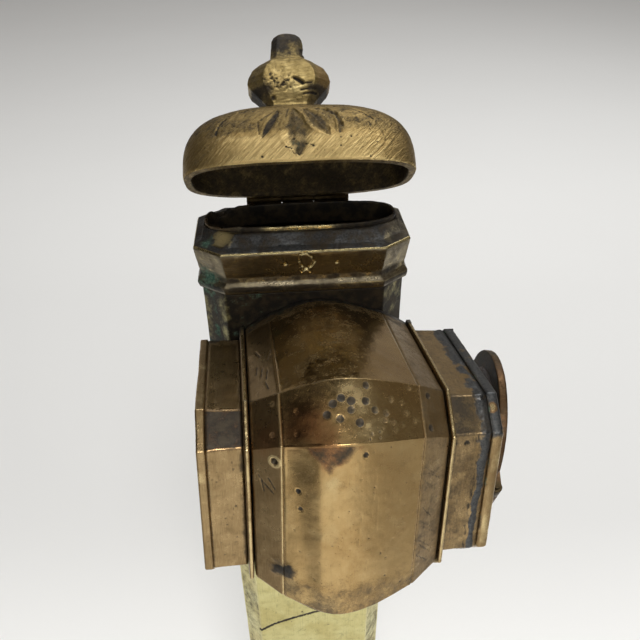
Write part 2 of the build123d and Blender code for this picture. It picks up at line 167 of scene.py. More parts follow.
def ring_marks(flats):
    """Side number of each ring point (half below it on the corner before) and corner weight"""
    side, corner = [], []
    for i, count in enumerate(flats):
        side += [i - 0.5] * len(CORNER_WEIGHTS) + [float(i)] * count
        corner += CORNER_WEIGHTS + [0.0] * count
    return np.array(side), np.array(corner)


def super_ring(half_x, half_y, count):
    """Superellipse with evenly spaced points"""
    t = np.linspace(0, 2 * math.pi, 4001)
    c, s = np.cos(t), np.sin(t)
    x = half_x * np.sign(c) * np.abs(c) ** (2 / SQUARENESS)
    y = half_y * np.sign(s) * np.abs(s) ** (2 / SQUARENESS)
    run = np.concatenate([[0], np.cumsum(np.hypot(np.diff(x), np.diff(y)))])
    even = np.linspace(0, run[-1], count + 1)[:-1]
    return np.stack([np.interp(even, run, x), np.interp(even, run, y)], -1)


def onto_superellipse(ring, half_x, half_y):
    """The same ring of points moved radially onto a superellipse"""
    powers = np.abs(ring[:, 0] / half_x) ** SQUARENESS + np.abs(ring[:, 1] / half_y) ** SQUARENESS
    return ring * (powers ** (-1 / SQUARENESS))[:, None]


def circle(count):
    t = np.linspace(0, 2 * math.pi, count, endpoint=False)
    return np.stack([np.cos(t), np.sin(t)], -1)


def at_height(ring, z):
    """Flat ring lifted to one height, or to a height per point"""
    heights = np.broadcast_to(z, len(ring))
    return np.concatenate([ring, heights[:, None]], 1)


def stack(rings, heights):
    return np.stack([at_height(ring, z) for ring, z in zip(rings, heights)])


def swept(ring, profile, centre=(0, 0)):
    """Grid of copies of a ring, one for each (scale, height) of the profile"""
    return np.stack([at_height(ring * scale + centre, z) for scale, z in profile])


def resample(stations, spacing, soft=0.0):
    """Evenly spaced rows along stations; the first two columns measure length

    soft rounds the profile's corners over about that length.
    """
    rows = np.array(stations, float)
    steps = np.linalg.norm(np.diff(rows[:, :2], axis=0), axis=1)
    run = np.concatenate([[0], np.cumsum(np.maximum(steps, 1e-6))])
    length = run[-1]
    if soft:
        fine_step = 0.02
        fine_run = np.append(np.arange(0, length, fine_step), length)
        fine = np.stack([np.interp(fine_run, run, column) for column in rows.T], -1)
        pad = int(soft / fine_step)
        kernel = np.hanning(2 * pad + 3)[1:-1]
        kernel /= kernel.sum()
        padded = np.concatenate([2 * fine[:1] - fine[pad:0:-1], fine,
                                 2 * fine[-1:] - fine[-2:-pad - 2:-1]])
        rows = np.stack([np.convolve(column, kernel, "same")[pad:pad + len(fine_run)]
                         for column in padded.T], -1)
        run = fine_run
    even = np.linspace(0, length, max(2, int(round(length / spacing)) + 1))
    return np.stack([np.interp(even, run, column) for column in rows.T], -1)


# ---------------------------------------------------------------- frames (mm)
def turned(axis, degrees):
    return np.array(Matrix.Rotation(math.radians(degrees), 4, axis))


def moved(x, y, z):
    matrix = np.eye(4)
    matrix[:3, 3] = (x, y, z)
    return matrix


def in_frame(points, matrix):
    return points @ matrix[:3, :3].T + matrix[:3, 3]


WORLD = np.eye(4)
CAP_FRAME = (moved(0, HINGE_Y, CAP_Z) @ turned("X", -CAP_OPEN) @ moved(0, -HINGE_Y, -CAP_Z)
             @ moved(CAP_X, 0, CAP_Z))
# the pot's Z is its axis (to the right), its X points back at the tube, its Y up the tube
POT_FRAME = np.eye(4)
POT_FRAME[:3, :3] = (turned("Z", 2.4) @ turned("Y", 2.5) @ turned("X", -9.1))[:3, [1, 2, 0]]
POT_FRAME[:3, 3] = POT_CENTRE
LID_FRAME = (POT_FRAME @ moved(MOUTH_X, MOUTH_Y, 0) @ turned("Z", 26.9)
             @ moved(LID_HINGE_X, 0, LID_HINGE_Z) @ turned("Y", -LID_OPEN)
             @ moved(-LID_HINGE_X, 0, -LID_HINGE_Z))

# ---------------------------------------------------------------- surfaces and meshes
# rubbed metal and painted highlights, grime and painted shade, verdigris, solder, tone (+ red, -
# pale), smoothness of bare sheet
LAYERS = ("wear", "dirt", "verd", "sold", "tone", "bare")
FAR = 99.0


def grid_normals(grid, closed):
    """Outward normals of (rows, points, 3); points always close, rows may"""
    around = np.roll(grid, -1, 1) - np.roll(grid, 1, 1)
    if closed:
        up = np.roll(grid, -1, 0) - np.roll(grid, 1, 0)
    else:
        up = np.empty_like(grid)
        up[1:-1] = grid[2:] - grid[:-2]
        up[0] = grid[1] - grid[0]
        up[-1] = grid[-1] - grid[-2]
    normal = np.cross(around, up)
    return normal / np.maximum(np.linalg.norm(normal, axis=-1, keepdims=True), 1e-9)


class Skin:
    """A grid of points with its displacement along the normals and its ageing layers"""

    def __init__(self, points, closed=False, flats=None):
        self.points = points
        self.x, self.y, self.z = np.moveaxis(points, -1, 0)
        self.plane = points[..., [0, 2]]  # the view that drawn() measures in
        self.normals = grid_normals(points, closed)
        shape = points.shape[:2]
        self.shift = np.zeros(shape)
        for layer in LAYERS:
            setattr(self, layer, np.zeros(shape))
        if flats:
            self.side, self.corner = (np.broadcast_to(m, shape) for m in ring_marks(flats))

    def noise(self, scale, seed, octaves=4):
        return fractal(self.points, scale, seed, octaves)

    def add(self, **amounts):
        for layer, amount in amounts.items():
            setattr(self, layer, getattr(self, layer) + amount)

    def cover(self, **amounts):
        """Raise layers to at least these amounts"""
        for layer, amount in amounts.items():
            setattr(self, layer, np.maximum(getattr(self, layer), amount))

    def coats(self, *layers, clip=()):
        found = {layer: getattr(self, layer) for layer in layers}
        return {k: unit(v) if k in clip else v for k, v in found.items()}

    def grid(self):
        return self.points + self.normals * self.shift[..., None]

    def distance(self, place):
        return np.linalg.norm(self.points - np.array(place), axis=-1)

    def drawn(self, mask, start, end=None):
        """Distance to a point or segment drawn in the plane view, far outside the mask"""
        offset = segment_offset(self.plane, start, start if end is None else end)
        return np.where(mask, np.linalg.norm(offset, axis=-1), FAR)

    def surface_distance(self, start, end=None):
        """Distance measured in the surface, far where the surface is another sheet"""
        offset = segment_offset(self.points, start, start if end is None else end)
        depth = (offset * self.normals).sum(-1)
        flat = np.sqrt(np.maximum((offset * offset).sum(-1) - depth * depth, 0))
        return np.where(np.abs(depth) < (2.0 if end is None else 1.5), flat, FAR)

    def punch(self, place, radius, depth, dark=0.9, rim=0.03, rub=0.25):
        """Round dent with a raised, rubbed rim and grime in it"""
        d = self.surface_distance(place)
        self.shift -= depth * smooth(radius, 0.45 * radius, d)
        self.shift += rim * bell(d - 1.12 * radius, 0.22 * radius)
        self.cover(dirt=dark * smooth(1.22 * radius, 0.80 * radius, d),
                   wear=rub * bell(d - 1.2 * radius, 0.2 * radius))

    def stroke(self, start, end, width=0.13, depth=0.10, dark=0.6, rim=0.02):
        """Scratch with raised sides and grime in it"""
        d = self.surface_distance(start, end)
        self.shift -= depth * smooth(width * 1.3, 0, d)
        self.shift += rim * bell(d - 1.7 * width, 0.6 * width)
        self.cover(dirt=dark * smooth(width * 1.5, width * 0.5, d))


def cut_behind(mesh, cut_y):
    """Cut away what lies behind the plane y = cut_y and close the holes"""
    bm = bmesh.new()
    bm.from_mesh(mesh)
    bmesh.ops.bisect_plane(bm, geom=bm.verts[:] + bm.edges[:] + bm.faces[:], dist=1e-7,
                           plane_co=(0, cut_y * MM, 0), plane_no=(0, 1, 0), clear_outer=True)
    edges = [e for e in bm.edges if len(e.link_faces) == 1]
    if edges:
        filled = bmesh.ops.holes_fill(bm, edges=edges, sides=0)
        bmesh.ops.triangulate(bm, faces=filled["faces"])
    bmesh.ops.recalc_face_normals(bm, faces=bm.faces)
    bm.to_mesh(mesh)
    bm.free()


def build(name, grid, matrix, *, node, material, slot, body="case", coats=None, closed=False,
          ends=False, cut_y=None, reverse=False):
    """Mesh from a grid in mm; closed joins the last row to the first, ends fans both shut"""
    coats = coats or {}
    if reverse:
        grid = grid[:, ::-1]
        coats = {layer: amount[:, ::-1] for layer, amount in coats.items()}
    rows, count, _ = grid.shape
    points = in_frame(grid, matrix) * MM
    verts = points.reshape(-1, 3).tolist()
    faces = []
    for row in range(rows if closed else rows - 1):
        low, high = row * count, (row + 1) % rows * count
        for k in range(count):
            k2 = (k + 1) % count
            faces.append((low + k, low + k2, high + k2, high + k))
    fan_sources = []  # grid point each fan centre copies its layers from
    for row in (0, rows - 1) if ends else ():
        centre, low = len(verts), row * count
        verts.append(points[row].mean(0).tolist())
        fan_sources.append(low)
        for k in range(count):
            k2 = (k + 1) % count
            edge = (low + k2, low + k) if row == 0 else (low + k, low + k2)
            faces.append((*edge, centre))
    if reverse:
        faces = [face[::-1] for face in faces]
    mesh = bpy.data.meshes.new(name)
    mesh.from_pydata(verts, [], faces)
    mesh.update()
    for layer, amount in coats.items():
        flat = np.asarray(amount, float).reshape(-1)
        values = np.concatenate([flat, flat[fan_sources]]) if fan_sources else flat
        attribute = mesh.attributes.new(layer, "FLOAT", "POINT")
        attribute.data.foreach_set("value", values.astype(np.float32))
    if cut_y is not None:
        cut_behind(mesh, cut_y)
    piece = bpy.data.objects.new(name, mesh)
    bpy.context.scene.collection.objects.link(piece)
    mesh.polygons.foreach_set("use_smooth", [True] * len(mesh.polygons))
    mesh.materials.append(material)
    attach(piece, body)
    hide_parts(node)


def build_sheet(name, skin, inner, matrix, inner_dirt, **options):
    """Thin closed shell: the skin outside, plain inner rows with even grime"""
    coats = {}
    for layer in LAYERS:
        fill = inner_dirt if layer == "dirt" else 0.0
        coats[layer] = np.concatenate([getattr(skin, layer), np.full(inner.shape[:2], fill)])
    build(name, np.concatenate([skin.grid(), inner[::-1]]), matrix, closed=True, coats=coats,
          **options)


# ---------------------------------------------------------------- shader helpers
def lin(*rgb):
    """sRGB 0..255 to a linear RGBA colour"""
    return tuple(c / 255 / 12.92 if c / 255 <= 0.04045 else ((c / 255 + 0.055) / 1.055) ** 2.4
                 for c in rgb) + (1.0,)


class Signal:
    """A number in a node tree; arithmetic on it adds Math nodes"""

    def __init__(self, shade, socket):
        self.shade, self.socket = shade, socket

    def __add__(self, other):
        return self.shade.math("ADD", self, other)

    def __radd__(self, other):
        return self.shade.math("ADD", other, self)

    def __sub__(self, other):
        return self.shade.math("SUBTRACT", self, other)

    def __mul__(self, other):
        return self.shade.math("MULTIPLY", self, other)

    def step(self, lo, hi):
        """Eased 0..1 between lo and hi"""
        node = self.shade.new("ShaderNodeMapRange", interpolation_type="SMOOTHSTEP")
        self.shade.put(node.inputs[0], self)
        node.inputs[1].default_value, node.inputs[2].default_value = lo, hi
        return Signal(self.shade, node.outputs[0])


class Shade:
    """Short hand for wiring a node tree"""

    def __init__(self, tree):
        self.tree = tree
        self.texture = self.new("ShaderNodeTexCoord").outputs

    def new(self, kind, **settings):
        node = self.tree.nodes.new(kind)
        for key, value in settings.items():
            setattr(node, key, value)
        return node

    def put(self, socket, value):
        """Link a Signal or a socket, or set a plain value"""
        if isinstance(value, Signal):
            value = value.socket
        if isinstance(value, bpy.types.NodeSocket):
            self.tree.links.new(value, socket)
        else:
            socket.default_value = value

    def math(self, operation, a, b, clamp=False):
        node = self.new("ShaderNodeMath", operation=operation, use_clamp=clamp)
        for socket, value in zip(node.inputs, (a, b, 0.0)):
            self.put(socket, value)
        return Signal(self, node.outputs[0])

    def mix(self, factor, a, b):
        node = self.new("ShaderNodeMix", data_type="RGBA", blend_type="MIX")
        node.clamp_factor = True
        for index, value in ((0, factor), (6, a), (7, b)):
            self.put(node.inputs[index], value)
        return node.outputs[2]

    def coords(self, per_mm=(1, 1, 1), turn=(0, 0, 0)):
        """Object coordinates in mm, turned and then scaled per axis"""
        vector = self.texture["Object"]
        if any(turn):
            node = self.new("ShaderNodeMapping", vector_type="POINT")
            self.put(node.inputs["Vector"], vector)
            node.inputs["Rotation"].default_value = turn
            vector = node.outputs[0]
        node = self.new("ShaderNodeMapping", vector_type="POINT")
        self.put(node.inputs["Vector"], vector)
        node.inputs["Scale"].default_value = tuple(1000 * k for k in per_mm)
        return node.outputs[0]

    def noise(self, vector, scale, detail=4.0, rough=0.55, warp=0.0):
        node = self.new("ShaderNodeTexNoise")
        self.put(node.inputs["Vector"], vector)
        for key, value in (("Scale", scale), ("Detail", detail), ("Roughness", rough),
                           ("Distortion", warp)):
            node.inputs[key].default_value = value
        return Signal(self, node.outputs["Fac"])

    def cells(self, vector, scale):
        node = self.new("ShaderNodeTexVoronoi")
        self.put(node.inputs["Vector"], vector)
        node.inputs["Scale"].default_value = scale
        node.inputs["Randomness"].default_value = 1.0
        return Signal(self, node.outputs["Distance"])

    def layer(self, name):
        return Signal(self, self.new("ShaderNodeAttribute", attribute_name=name).outputs["Fac"])

    def split(self, vector):
        node = self.new("ShaderNodeSeparateXYZ")
        self.put(node.inputs[0], vector)
        return [Signal(self, socket) for socket in node.outputs]

    def bump(self, height, strength, distance):
        node = self.new("ShaderNodeBump")
        node.inputs["Strength"].default_value = strength
        node.inputs["Distance"].default_value = distance
        self.put(node.inputs["Height"], height)
        return node.outputs[0]


def new_surface(name):
    material = bpy.data.materials.new(name)
    material.use_nodes = True
    material.node_tree.nodes.clear()
    shade = Shade(material.node_tree)
    output = shade.new("ShaderNodeOutputMaterial")
    principled = shade.new("ShaderNodeBsdfPrincipled")
    shade.put(output.inputs[0], principled.outputs[0])
    return material, shade, principled.inputs


def metal(name, tones, *, rough, grain, turn=(0, 0, 0), grain_amount, pit, pit_scale=1.1,
          mottle, speck, relief):
    """Aged brass under solder, grime and painted shade, and verdigris

    tones are two body tones, pale rubbed metal and painted highlights, red tarnish and dark grime;
    grain is the brushing's frequency per axis and turn its rotation; pit_scale is pits per mm.
    """
    material, shade, inputs = new_surface(name)
    base, second, pale, red, dark = (lin(*tone) for tone in tones)
    mm = shade.coords()
    wear, dirt, verd, sold, tone, bare = (shade.layer(k) for k in LAYERS)
    big = shade.noise(mm, 0.11, detail=5, rough=0.6, warp=0.4)
    mid = shade.noise(mm, 0.55, detail=6, rough=0.65, warp=0.2)
    fine = shade.noise(mm, 2.6, detail=6, rough=0.7)
    hair = shade.noise(shade.coords(grain, turn), 1.0, detail=3, rough=0.6)
    crossed = (turn[0] + 0.13, turn[1] - 0.1, turn[2] + 0.15)
    hair_2 = shade.noise(shade.coords([g * 2.3 for g in grain], crossed), 1.0, detail=2, rough=0.5)

    # small dark pits of two sizes, in drifts
    drift = shade.noise(mm, 0.3, detail=3, rough=0.6).step(0.44, 0.66)
    pits = shade.math("MAXIMUM", shade.cells(mm, pit_scale).step(0.20, 0.08),
                      shade.cells(mm, pit_scale * 2.7).step(0.24, 0.10))
    pits = shade.math("MULTIPLY", pits * drift, pit, clamp=True)

    # where each layer shows, broken up by noise
    streak = (hair - 0.5) * (2.4 * max(0.0, grain_amount - 0.4))
    # the pale rubbed layer also paints highlights, and the grime layer also paints shade
    paleness = (wear + streak + (mid - 0.5) * 0.9).step(0.35, 0.85)
    solder = (sold + (mid - 0.5) * 0.8).step(0.35, 0.62)
    darkening = (dirt + ((mid - 0.5) * 0.9 + (fine - 0.5) * 0.5)).step(0.18, 0.80)
    green = (verd + ((mid - 0.5) * 1.2 + (fine - 0.5) * 0.8)).step(0.30, 0.85)

    # (amount, colour) from the metal up
    colour = base
    for amount, tint in (
            (big.step(0.36, 0.64), second),
            (mid.step(0.50, 0.72) * mottle, dark),
            (mid.step(0.50, 0.28) * (mottle * 0.6), pale),
            (hair.step(0.52, 0.78) * (grain_amount * 0.7), dark),
            (hair_2.step(0.50, 0.25) * (grain_amount * 0.5), pale),
            (tone.step(0.0, 1.0), red),
            ((tone * -1.0).step(0.0, 1.0), pale),
            (pits * 0.8, lin(38, 27, 14)),
            (fine.step(0.56, 0.80) * speck, dark),
            (paleness, pale),
            (solder, shade.mix(fine.step(0.35, 0.7), lin(96, 96, 94), lin(66, 68, 71))),
            (darkening, shade.mix(mid.step(0.4, 0.62), lin(34, 30, 24), lin(63, 53, 37))),
            (green, shade.mix(fine.step(0.4, 0.65), lin(46, 84, 72), lin(104, 132, 108)))):
        colour = shade.mix(amount, colour, tint)
    inputs["Base Color"].default_value = base  # plain tone behind the link
    shade.put(inputs["Base Color"], colour)
    shade.put(inputs["Metallic"],
              shade.math("SUBTRACT", 1.0, darkening * 0.55 + green * 0.9, clamp=True))

    roughness = rough + (mid - 0.5) * 0.30
    roughness = roughness + (big - 0.5) * 0.25
    roughness = roughness + fine.step(0.5, 0.8) * 0.16
    roughness = roughness - paleness * 0.08
    roughness = roughness + solder * 0.10
    roughness = roughness + (darkening * 0.22 + green * 0.4)
    roughness = roughness + (tone * -1.0).step(0.1, 0.9) * 0.16
    roughness = roughness + bare * -0.12
    roughness = shade.math("MINIMUM", shade.math("MAXIMUM", roughness, 0.12), 0.95)
    shade.put(inputs["Roughness"], roughness)

    # relief, calmer on bare sheet
    calm = shade.math("SUBTRACT", 1.0, bare * 0.8, clamp=True)
    height = fine * 0.25 * calm
    height = height + mid * 0.35
    height = height + hair * (0.55 * grain_amount + 1.6 * max(0.0, grain_amount - 0.55))
    height = height + hair_2 * (0.30 * grain_amount)
    height = height - pits * 1.0
    height = height + (darkening + green) * (fine * 0.7 * calm)
    shade.put(inputs["Normal"], shade.bump(height, strength=relief, distance=0.00016))
    return material


def fibre(name, tones, *, scale, grain):
    """Felted silk or leather: fibres and stains in two body tones and a dark one"""
    material, shade, inputs = new_surface(name)
    base, second, dark = (lin(*tone) for tone in tones)
    big = shade.noise(shade.coords(), 0.25 * scale)
    along, across, deep = (g * scale for g in grain)
    thread = shade.noise(shade.coords((along, across, deep), (0.4, 0.3, 0.7)), 1.0,
                         detail=5, rough=0.7, warp=1.2)
    thread_2 = shade.noise(shade.coords((across, along, deep), (0.1, 0.8, 0.2)), 1.0,
                           detail=5, rough=0.7, warp=1.5)
    colour = shade.mix(big.step(0.35, 0.65), base, second)
    colour = shade.mix(thread.step(0.5, 0.75), colour, dark)
    colour = shade.mix(thread_2.step(0.55, 0.8) * 0.5, colour, base)
    shade.put(inputs["Base Color"], colour)
    shade.put(inputs["Roughness"], 0.68 + thread * 0.25)
    inputs["Sheen Weight"].default_value = 0.25
    shade.put(inputs["Normal"], shade.bump(thread + thread_2, strength=0.7, distance=0.00025))
    return material


POT_BRASS = metal(
    "pot_brass_aged",
    ((187, 158, 108), (171, 141, 93), (214, 192, 142), (152, 104, 66), (104, 82, 52)),
    rough=0.19, grain=(5.0, 0.25, 0.25), grain_amount=0.22, pit=0.45, mottle=0.24,
    speck=0.25, relief=0.20)
BAND_BRASS = metal(
    "pot_band_brass",
    ((162, 137, 98), (141, 117, 81), (208, 186, 138), (150, 106, 70), (88, 70, 46)),
    rough=0.31, grain=(5.0, 0.22, 0.22), grain_amount=0.5, pit=0.5, mottle=0.32,
    speck=0.35, relief=0.35)
CAP_BRASS = metal(
    "cap_brass_filed",
    ((168, 142, 91), (142, 121, 76), (216, 190, 132), (118, 100, 64), (84, 72, 44)),
    rough=0.46, grain=(0.22, 0.8, 2.9), turn=(0.714, 0.80, 0), grain_amount=1.15, pit=1.0,
    pit_scale=1.7, mottle=0.40, speck=0.45, relief=0.85)
FINIAL_BRASS = metal(
    "finial_brass_cast",
    ((156, 136, 90), (130, 112, 70), (206, 186, 130), (140, 110, 74), (80, 68, 42)),
    rough=0.44, grain=(0.35, 0.5, 3.6), turn=(0.714, 0.16, 0), grain_amount=0.6, pit=1.0,
    pit_scale=1.9, mottle=0.40, speck=0.55, relief=0.6)
COLLAR_BRASS = metal(
    "collar_brass_dark",
    ((130, 120, 100), (110, 101, 82), (212, 194, 140), (114, 92, 66), (60, 50, 32)),
    rough=0.30, grain=(0.3, 0.3, 4.0), grain_amount=0.35, pit=0.8, pit_scale=1.3,
    mottle=0.45, speck=0.5, relief=0.4)
TUBE_BRASS = metal(
    "tube_brass_pale",
    ((208, 200, 142), (196, 184, 124), (230, 222, 168), (150, 124, 78), (108, 98, 66)),
    rough=0.38, grain=(3.2, 3.2, 0.10), grain_amount=0.35, pit=0.6, mottle=0.25,
    speck=0.3, relief=0.3)
HINGE_BRASS = metal(
    "hinge_brass_worn",
    ((80, 67, 45), (58, 48, 33), (112, 98, 68), (76, 58, 40), (44, 36, 24)),
    rough=0.42, grain=(0.6, 3.0, 0.6), grain_amount=0.4, pit=0.8, pit_scale=1.6,
    mottle=0.6, speck=0.7, relief=0.5)
LID_BRASS = metal(
    "ink_lid_brass_browned",
    ((98, 76, 54), (78, 60, 42), (140, 114, 80), (98, 58, 40), (34, 26, 20)),
    rough=0.42, grain=(0.4, 2.4, 0.4), grain_amount=0.45, pit=0.9, pit_scale=1.4,
    mottle=0.5, speck=0.6, relief=0.5)
SOLDER = metal(
    "solder_grey_grimy",
    ((112, 108, 100), (84, 82, 80), (160, 154, 142), (110, 88, 60), (36, 33, 30)),
    rough=0.45, grain=(1, 1, 1), grain_amount=0.3, pit=0.9, pit_scale=1.5,
    mottle=0.6, speck=0.7, relief=0.9)
SILK = fibre("ink_silk", ((46, 40, 36), (30, 27, 26), (14, 13, 14)),
             scale=1.0, grain=(0.35, 2.6, 2.6))
LEATHER = fibre("ink_pad_leather", ((70, 48, 34), (48, 34, 26), (20, 15, 12)),
                scale=0.7, grain=(1.2, 1.4, 1.4))

# ================================================================ ink pot
# In the pot's frame x is back, y up and z right. A ring is given by its half width across the
# flats and the half length of its four long sides: side 3 is the top, 4 the sloping facet
# between top and front, 5 the front.
BELLY_LEFT, BELLY_RIGHT, BELLY_CREST = -9.8, 10.8, -1.0
BELLY_END = (19.8, 14.3)
BELLY_RISE = (2.9, 1.8)
BAND_END = (17.2, 12.2)
BAND_RIGHT = 15.45
PLATE = (15.9, 11.4)
BELLY_FLATS = [10, 6, 26, 84, 56, 104, 40, 56]
END_FLATS = [8, 5, 20, 64, 40, 84, 28, 44]

# punch marks on the sloping facet: left group, right group
BELLY_PUNCH_LEFT = [
    (-18.43, 20.04, -2.57), (-18.03, 20.69, -1.40), (-18.35, 20.32, -0.03),
    (-18.23, 20.10, 2.13), (-19.25, 19.43, -0.15), (-19.36, 18.90, -3.51),
    (-20.05, 18.59, -1.79), (-20.50, 18.04, 0.94), (-16.55, 21.68, 2.38),
    (-18.90, 18.96, 3.33), (-18.89, 18.35, 4.94)]
BELLY_PUNCH_RIGHT = [
    (-17.27, 19.41, 5.96), (-17.12, 18.71, 7.50), (-18.08, 17.43, 8.08),
    (-15.09, 19.89, 9.10), (-19.65, 17.70, 4.67), (-19.63, 17.10, 5.85),
    (-19.55, 16.44, 7.21), (-18.44, 16.39, 9.39), (-20.28, 16.35, 6.04)]
# further marks: place, radius, depth, dark, rim, rub
BELLY_MARKS = [
    ((-21.43, 16.75, 2.51), 0.34, 0.08, 0.62, 0.01, 0.3),
    ((-21.62, 16.13, 3.62), 0.26, 0.08, 0.62, 0.01, 0.3),
    ((-21.2, 16.9, 3.75), 0.30, 0.08, 0.62, 0.01, 0.3),
    ((-21.7, 16.0, 2.1), 0.22, 0.08, 0.62, 0.01, 0.3),
    ((-20.9, 17.2, 4.4), 0.24, 0.08, 0.62, 0.01, 0.3),
    ((-17.36, 18.37, -7.49), 0.50, 0.05, 0.30, 0.0, 0.0),
    ((-19.46, 16.12, -7.69), 0.50, 0.05, 0.30, 0.0, 0.0),
    ((-12.27, 19.86, -9.65), 0.50, -0.12, 0.0, 0.03, 0.25),
    ((-22.48, 14.05, 1.58), 0.42, 0.25, 0.95, 0.03, 0.25),
    ((-20.72, 6.99, -7.68), 0.45, 0.30, 1.0, 0.03, 0.25),
    ((-20.85, 3.77, -7.40), 0.42, 0.14, 0.75, 0.03, 0.25)]
# scratches on the left band: start, end
BASE_BAND_SCRATCHES = [
    ((-17.74, 8.14, -13.24), (-18.55, 6.3, -12.0)), ((-18.0, 7.6, -12.9), (-18.3, 5.4, -12.5)),
    ((-18.59, 8.15, -11.83), (-19.1, 6.4, -10.9)), ((-18.2, 6.9, -12.3), (-18.9, 5.6, -11.1)),
    ((1.67, 18.07, -12.69), (-0.9, 18.3, -11.9)), ((-4.74, 18.60, -11.81), (-7.4, 18.4, -12.1)),
    ((-0.55, 19.50, -10.30), (-3.0, 19.2, -10.9)), ((-11.70, 19.0, -11.2), (-9.3, 18.8, -11.6)),
    ((-6.0, 18.9, -11.0), (-8.6, 18.8, -11.3)), ((-3.5, 18.2, -12.6), (-5.9, 18.1, -12.9))]


def pot_ring(across, side, fillet, flats):
    return facet_ring(across, across, across - side, across - side, fillet, flats)


def belly_size(z):
    """Ring sizes of the belly, which swells from both ends to its crest"""
    rise = np.where(z < BELLY_CREST, (z - BELLY_LEFT) / (BELLY_CREST - BELLY_LEFT),
                    (BELLY_RIGHT - z) / (BELLY_RIGHT - BELLY_CREST))
    swell = np.sin(unit(rise) * np.pi / 2) ** 1.15
    return [float(end + gain * swell) for end, gain in zip(BELLY_END, BELLY_RISE)]


def pot_skin(points, flats):
    """Ageing shared by the pot's sheets: dents, rubbed arrises, grime near the pen tube, painted
    shade on the top arris
    """
    skin = Skin(points, flats=flats)
    skin.shift = (0.10 * skin.noise(0.10, 3, 3) + 0.035 * skin.noise(0.55, 4, 3)
                  + 0.010 * skin.noise(2.2, 5, 2))
    skin.broad, skin.fine = skin.noise(0.35, 8), skin.noise(1.1, 12)
    world_y = in_frame(points, POT_FRAME)[..., 1]
    top, left = smooth(-2, 6, skin.y), smooth(6, -12, skin.z)
    skin.wear = (unit(skin.corner * (0.45 + 0.5 * skin.broad))
                 * np.where(skin.side < 3.8, 0.25, 0.42))
    skin.dirt = (smooth(-15.5, -10.4, world_y + 2.4 * skin.broad)
                 * (0.50 + 0.25 * left + 0.4 * skin.fine) * (0.35 + 0.65 * top))
    skin.verd = (smooth(-13.5, -10.2, world_y + 1.5 * skin.fine) * (0.15 + 0.4 * left) * top
                 * (0.7 + 0.8 * skin.broad))
    # painted shade on the arris between top and sloping facet, dulling the highlight it catches
    skin.cover(dirt=skin.corner * (np.abs(skin.side - 3.5) < 0.6) * (0.56 + 0.3 * skin.broad))
    return skin


def pot_sheet(node, suffix, outer_rows, inner_rows, flats, fillet, age, material=BAND_BRASS):
    """One ring-shaped sheet of the pot; rows are (z, across flats, side)"""
    outer = stack([pot_ring(*row[1:], fillet, flats) for row in outer_rows],
                  [row[0] for row in outer_rows])
    inner = stack([pot_ring(row[1] - 1.1, row[2] - 0.456, 0.3, flats) for row in inner_rows],
                  [row[0] for row in inner_rows])
    skin = pot_skin(outer, flats)
    age(skin)
    # keep the sheet's two edges in place, slightly eased
    edge = np.minimum(skin.z - skin.z.min(), skin.z.max() - skin.z)
    skin.shift = skin.shift * smooth(0.0, 0.6, edge) - 0.16 * bell(edge, 0.16)
    build_sheet(node + suffix, skin, inner, POT_FRAME, 0.62, cut_y=BACK_Y, node=node,
                material=material, slot="pot_brass")


def on_side(skin, side):
    """1 on a side, half on its corners"""
    return unit(1 - np.abs(skin.side - side))


def solder_smear(skin, place, radius, height, dark):
    blob = falloff(skin.surface_distance(place) * 0.8 + 0.8 * skin.fine, radius)
    skin.shift += height * blob
    skin.cover(dirt=dark * blob)


def shape_belly(skin):
    y, z, side, broad, fine = skin.y, skin.z, skin.side, skin.broad, skin.fine
    # soft crease where the tapered left end meets the flatter middle of the front
    crease = z - (-4.45 + 0.45 * broad - 0.03 * y)
    ridge = np.exp(-(np.sqrt(crease ** 2 + 0.45 ** 2) - 0.45) / 1.2)
    skin.shift += (0.20 * ridge * window(y, -18, -12, 13.0, 17.5)
                   * window(side, 4.2, 4.8, 5.4, 5.9))
    skin.shift -= (0.24 * bell(z + 8.3 - 0.10 * (13 - y), 1.6) * smooth(17, 12, y)
                   * window(side, 4.3, 4.8, 5.4, 5.9))
    # hammered waves over the broad facets
    skin.shift += 0.09 * skin.noise(0.22, 61, 2) * (side > 2.4)


def mark_belly(skin, rng):
    for place in BELLY_PUNCH_LEFT:
        vary = value_noise(np.array([place]), 1.7, 5)[0]
        skin.punch(place, 0.64 + 0.06 * vary, 0.11, dark=0.74 + 0.12 * vary, rim=0.0, rub=0.0)
    for place in BELLY_PUNCH_RIGHT:
        vary = value_noise(np.array([place]), 1.7, 6)[0]
        skin.punch(place, 0.48 + 0.06 * vary, 0.09, dark=0.42, rim=0.0, rub=0.75)
    for mark in BELLY_MARKS:
        skin.punch(*mark)
    skin.cover(wear=0.9 * falloff(skin.surface_distance((-12.27, 19.86, -9.4)), 0.7))
    for _ in range(38):
        y, z = rng.uniform(-15, 15), rng.uniform(-8.5, 9.5)
        skin.punch((-belly_size(z)[0], y, z), rng.uniform(0.10, 0.24), rng.uniform(0.04, 0.09),
                   rng.uniform(0.3, 0.72), rim=0.01)


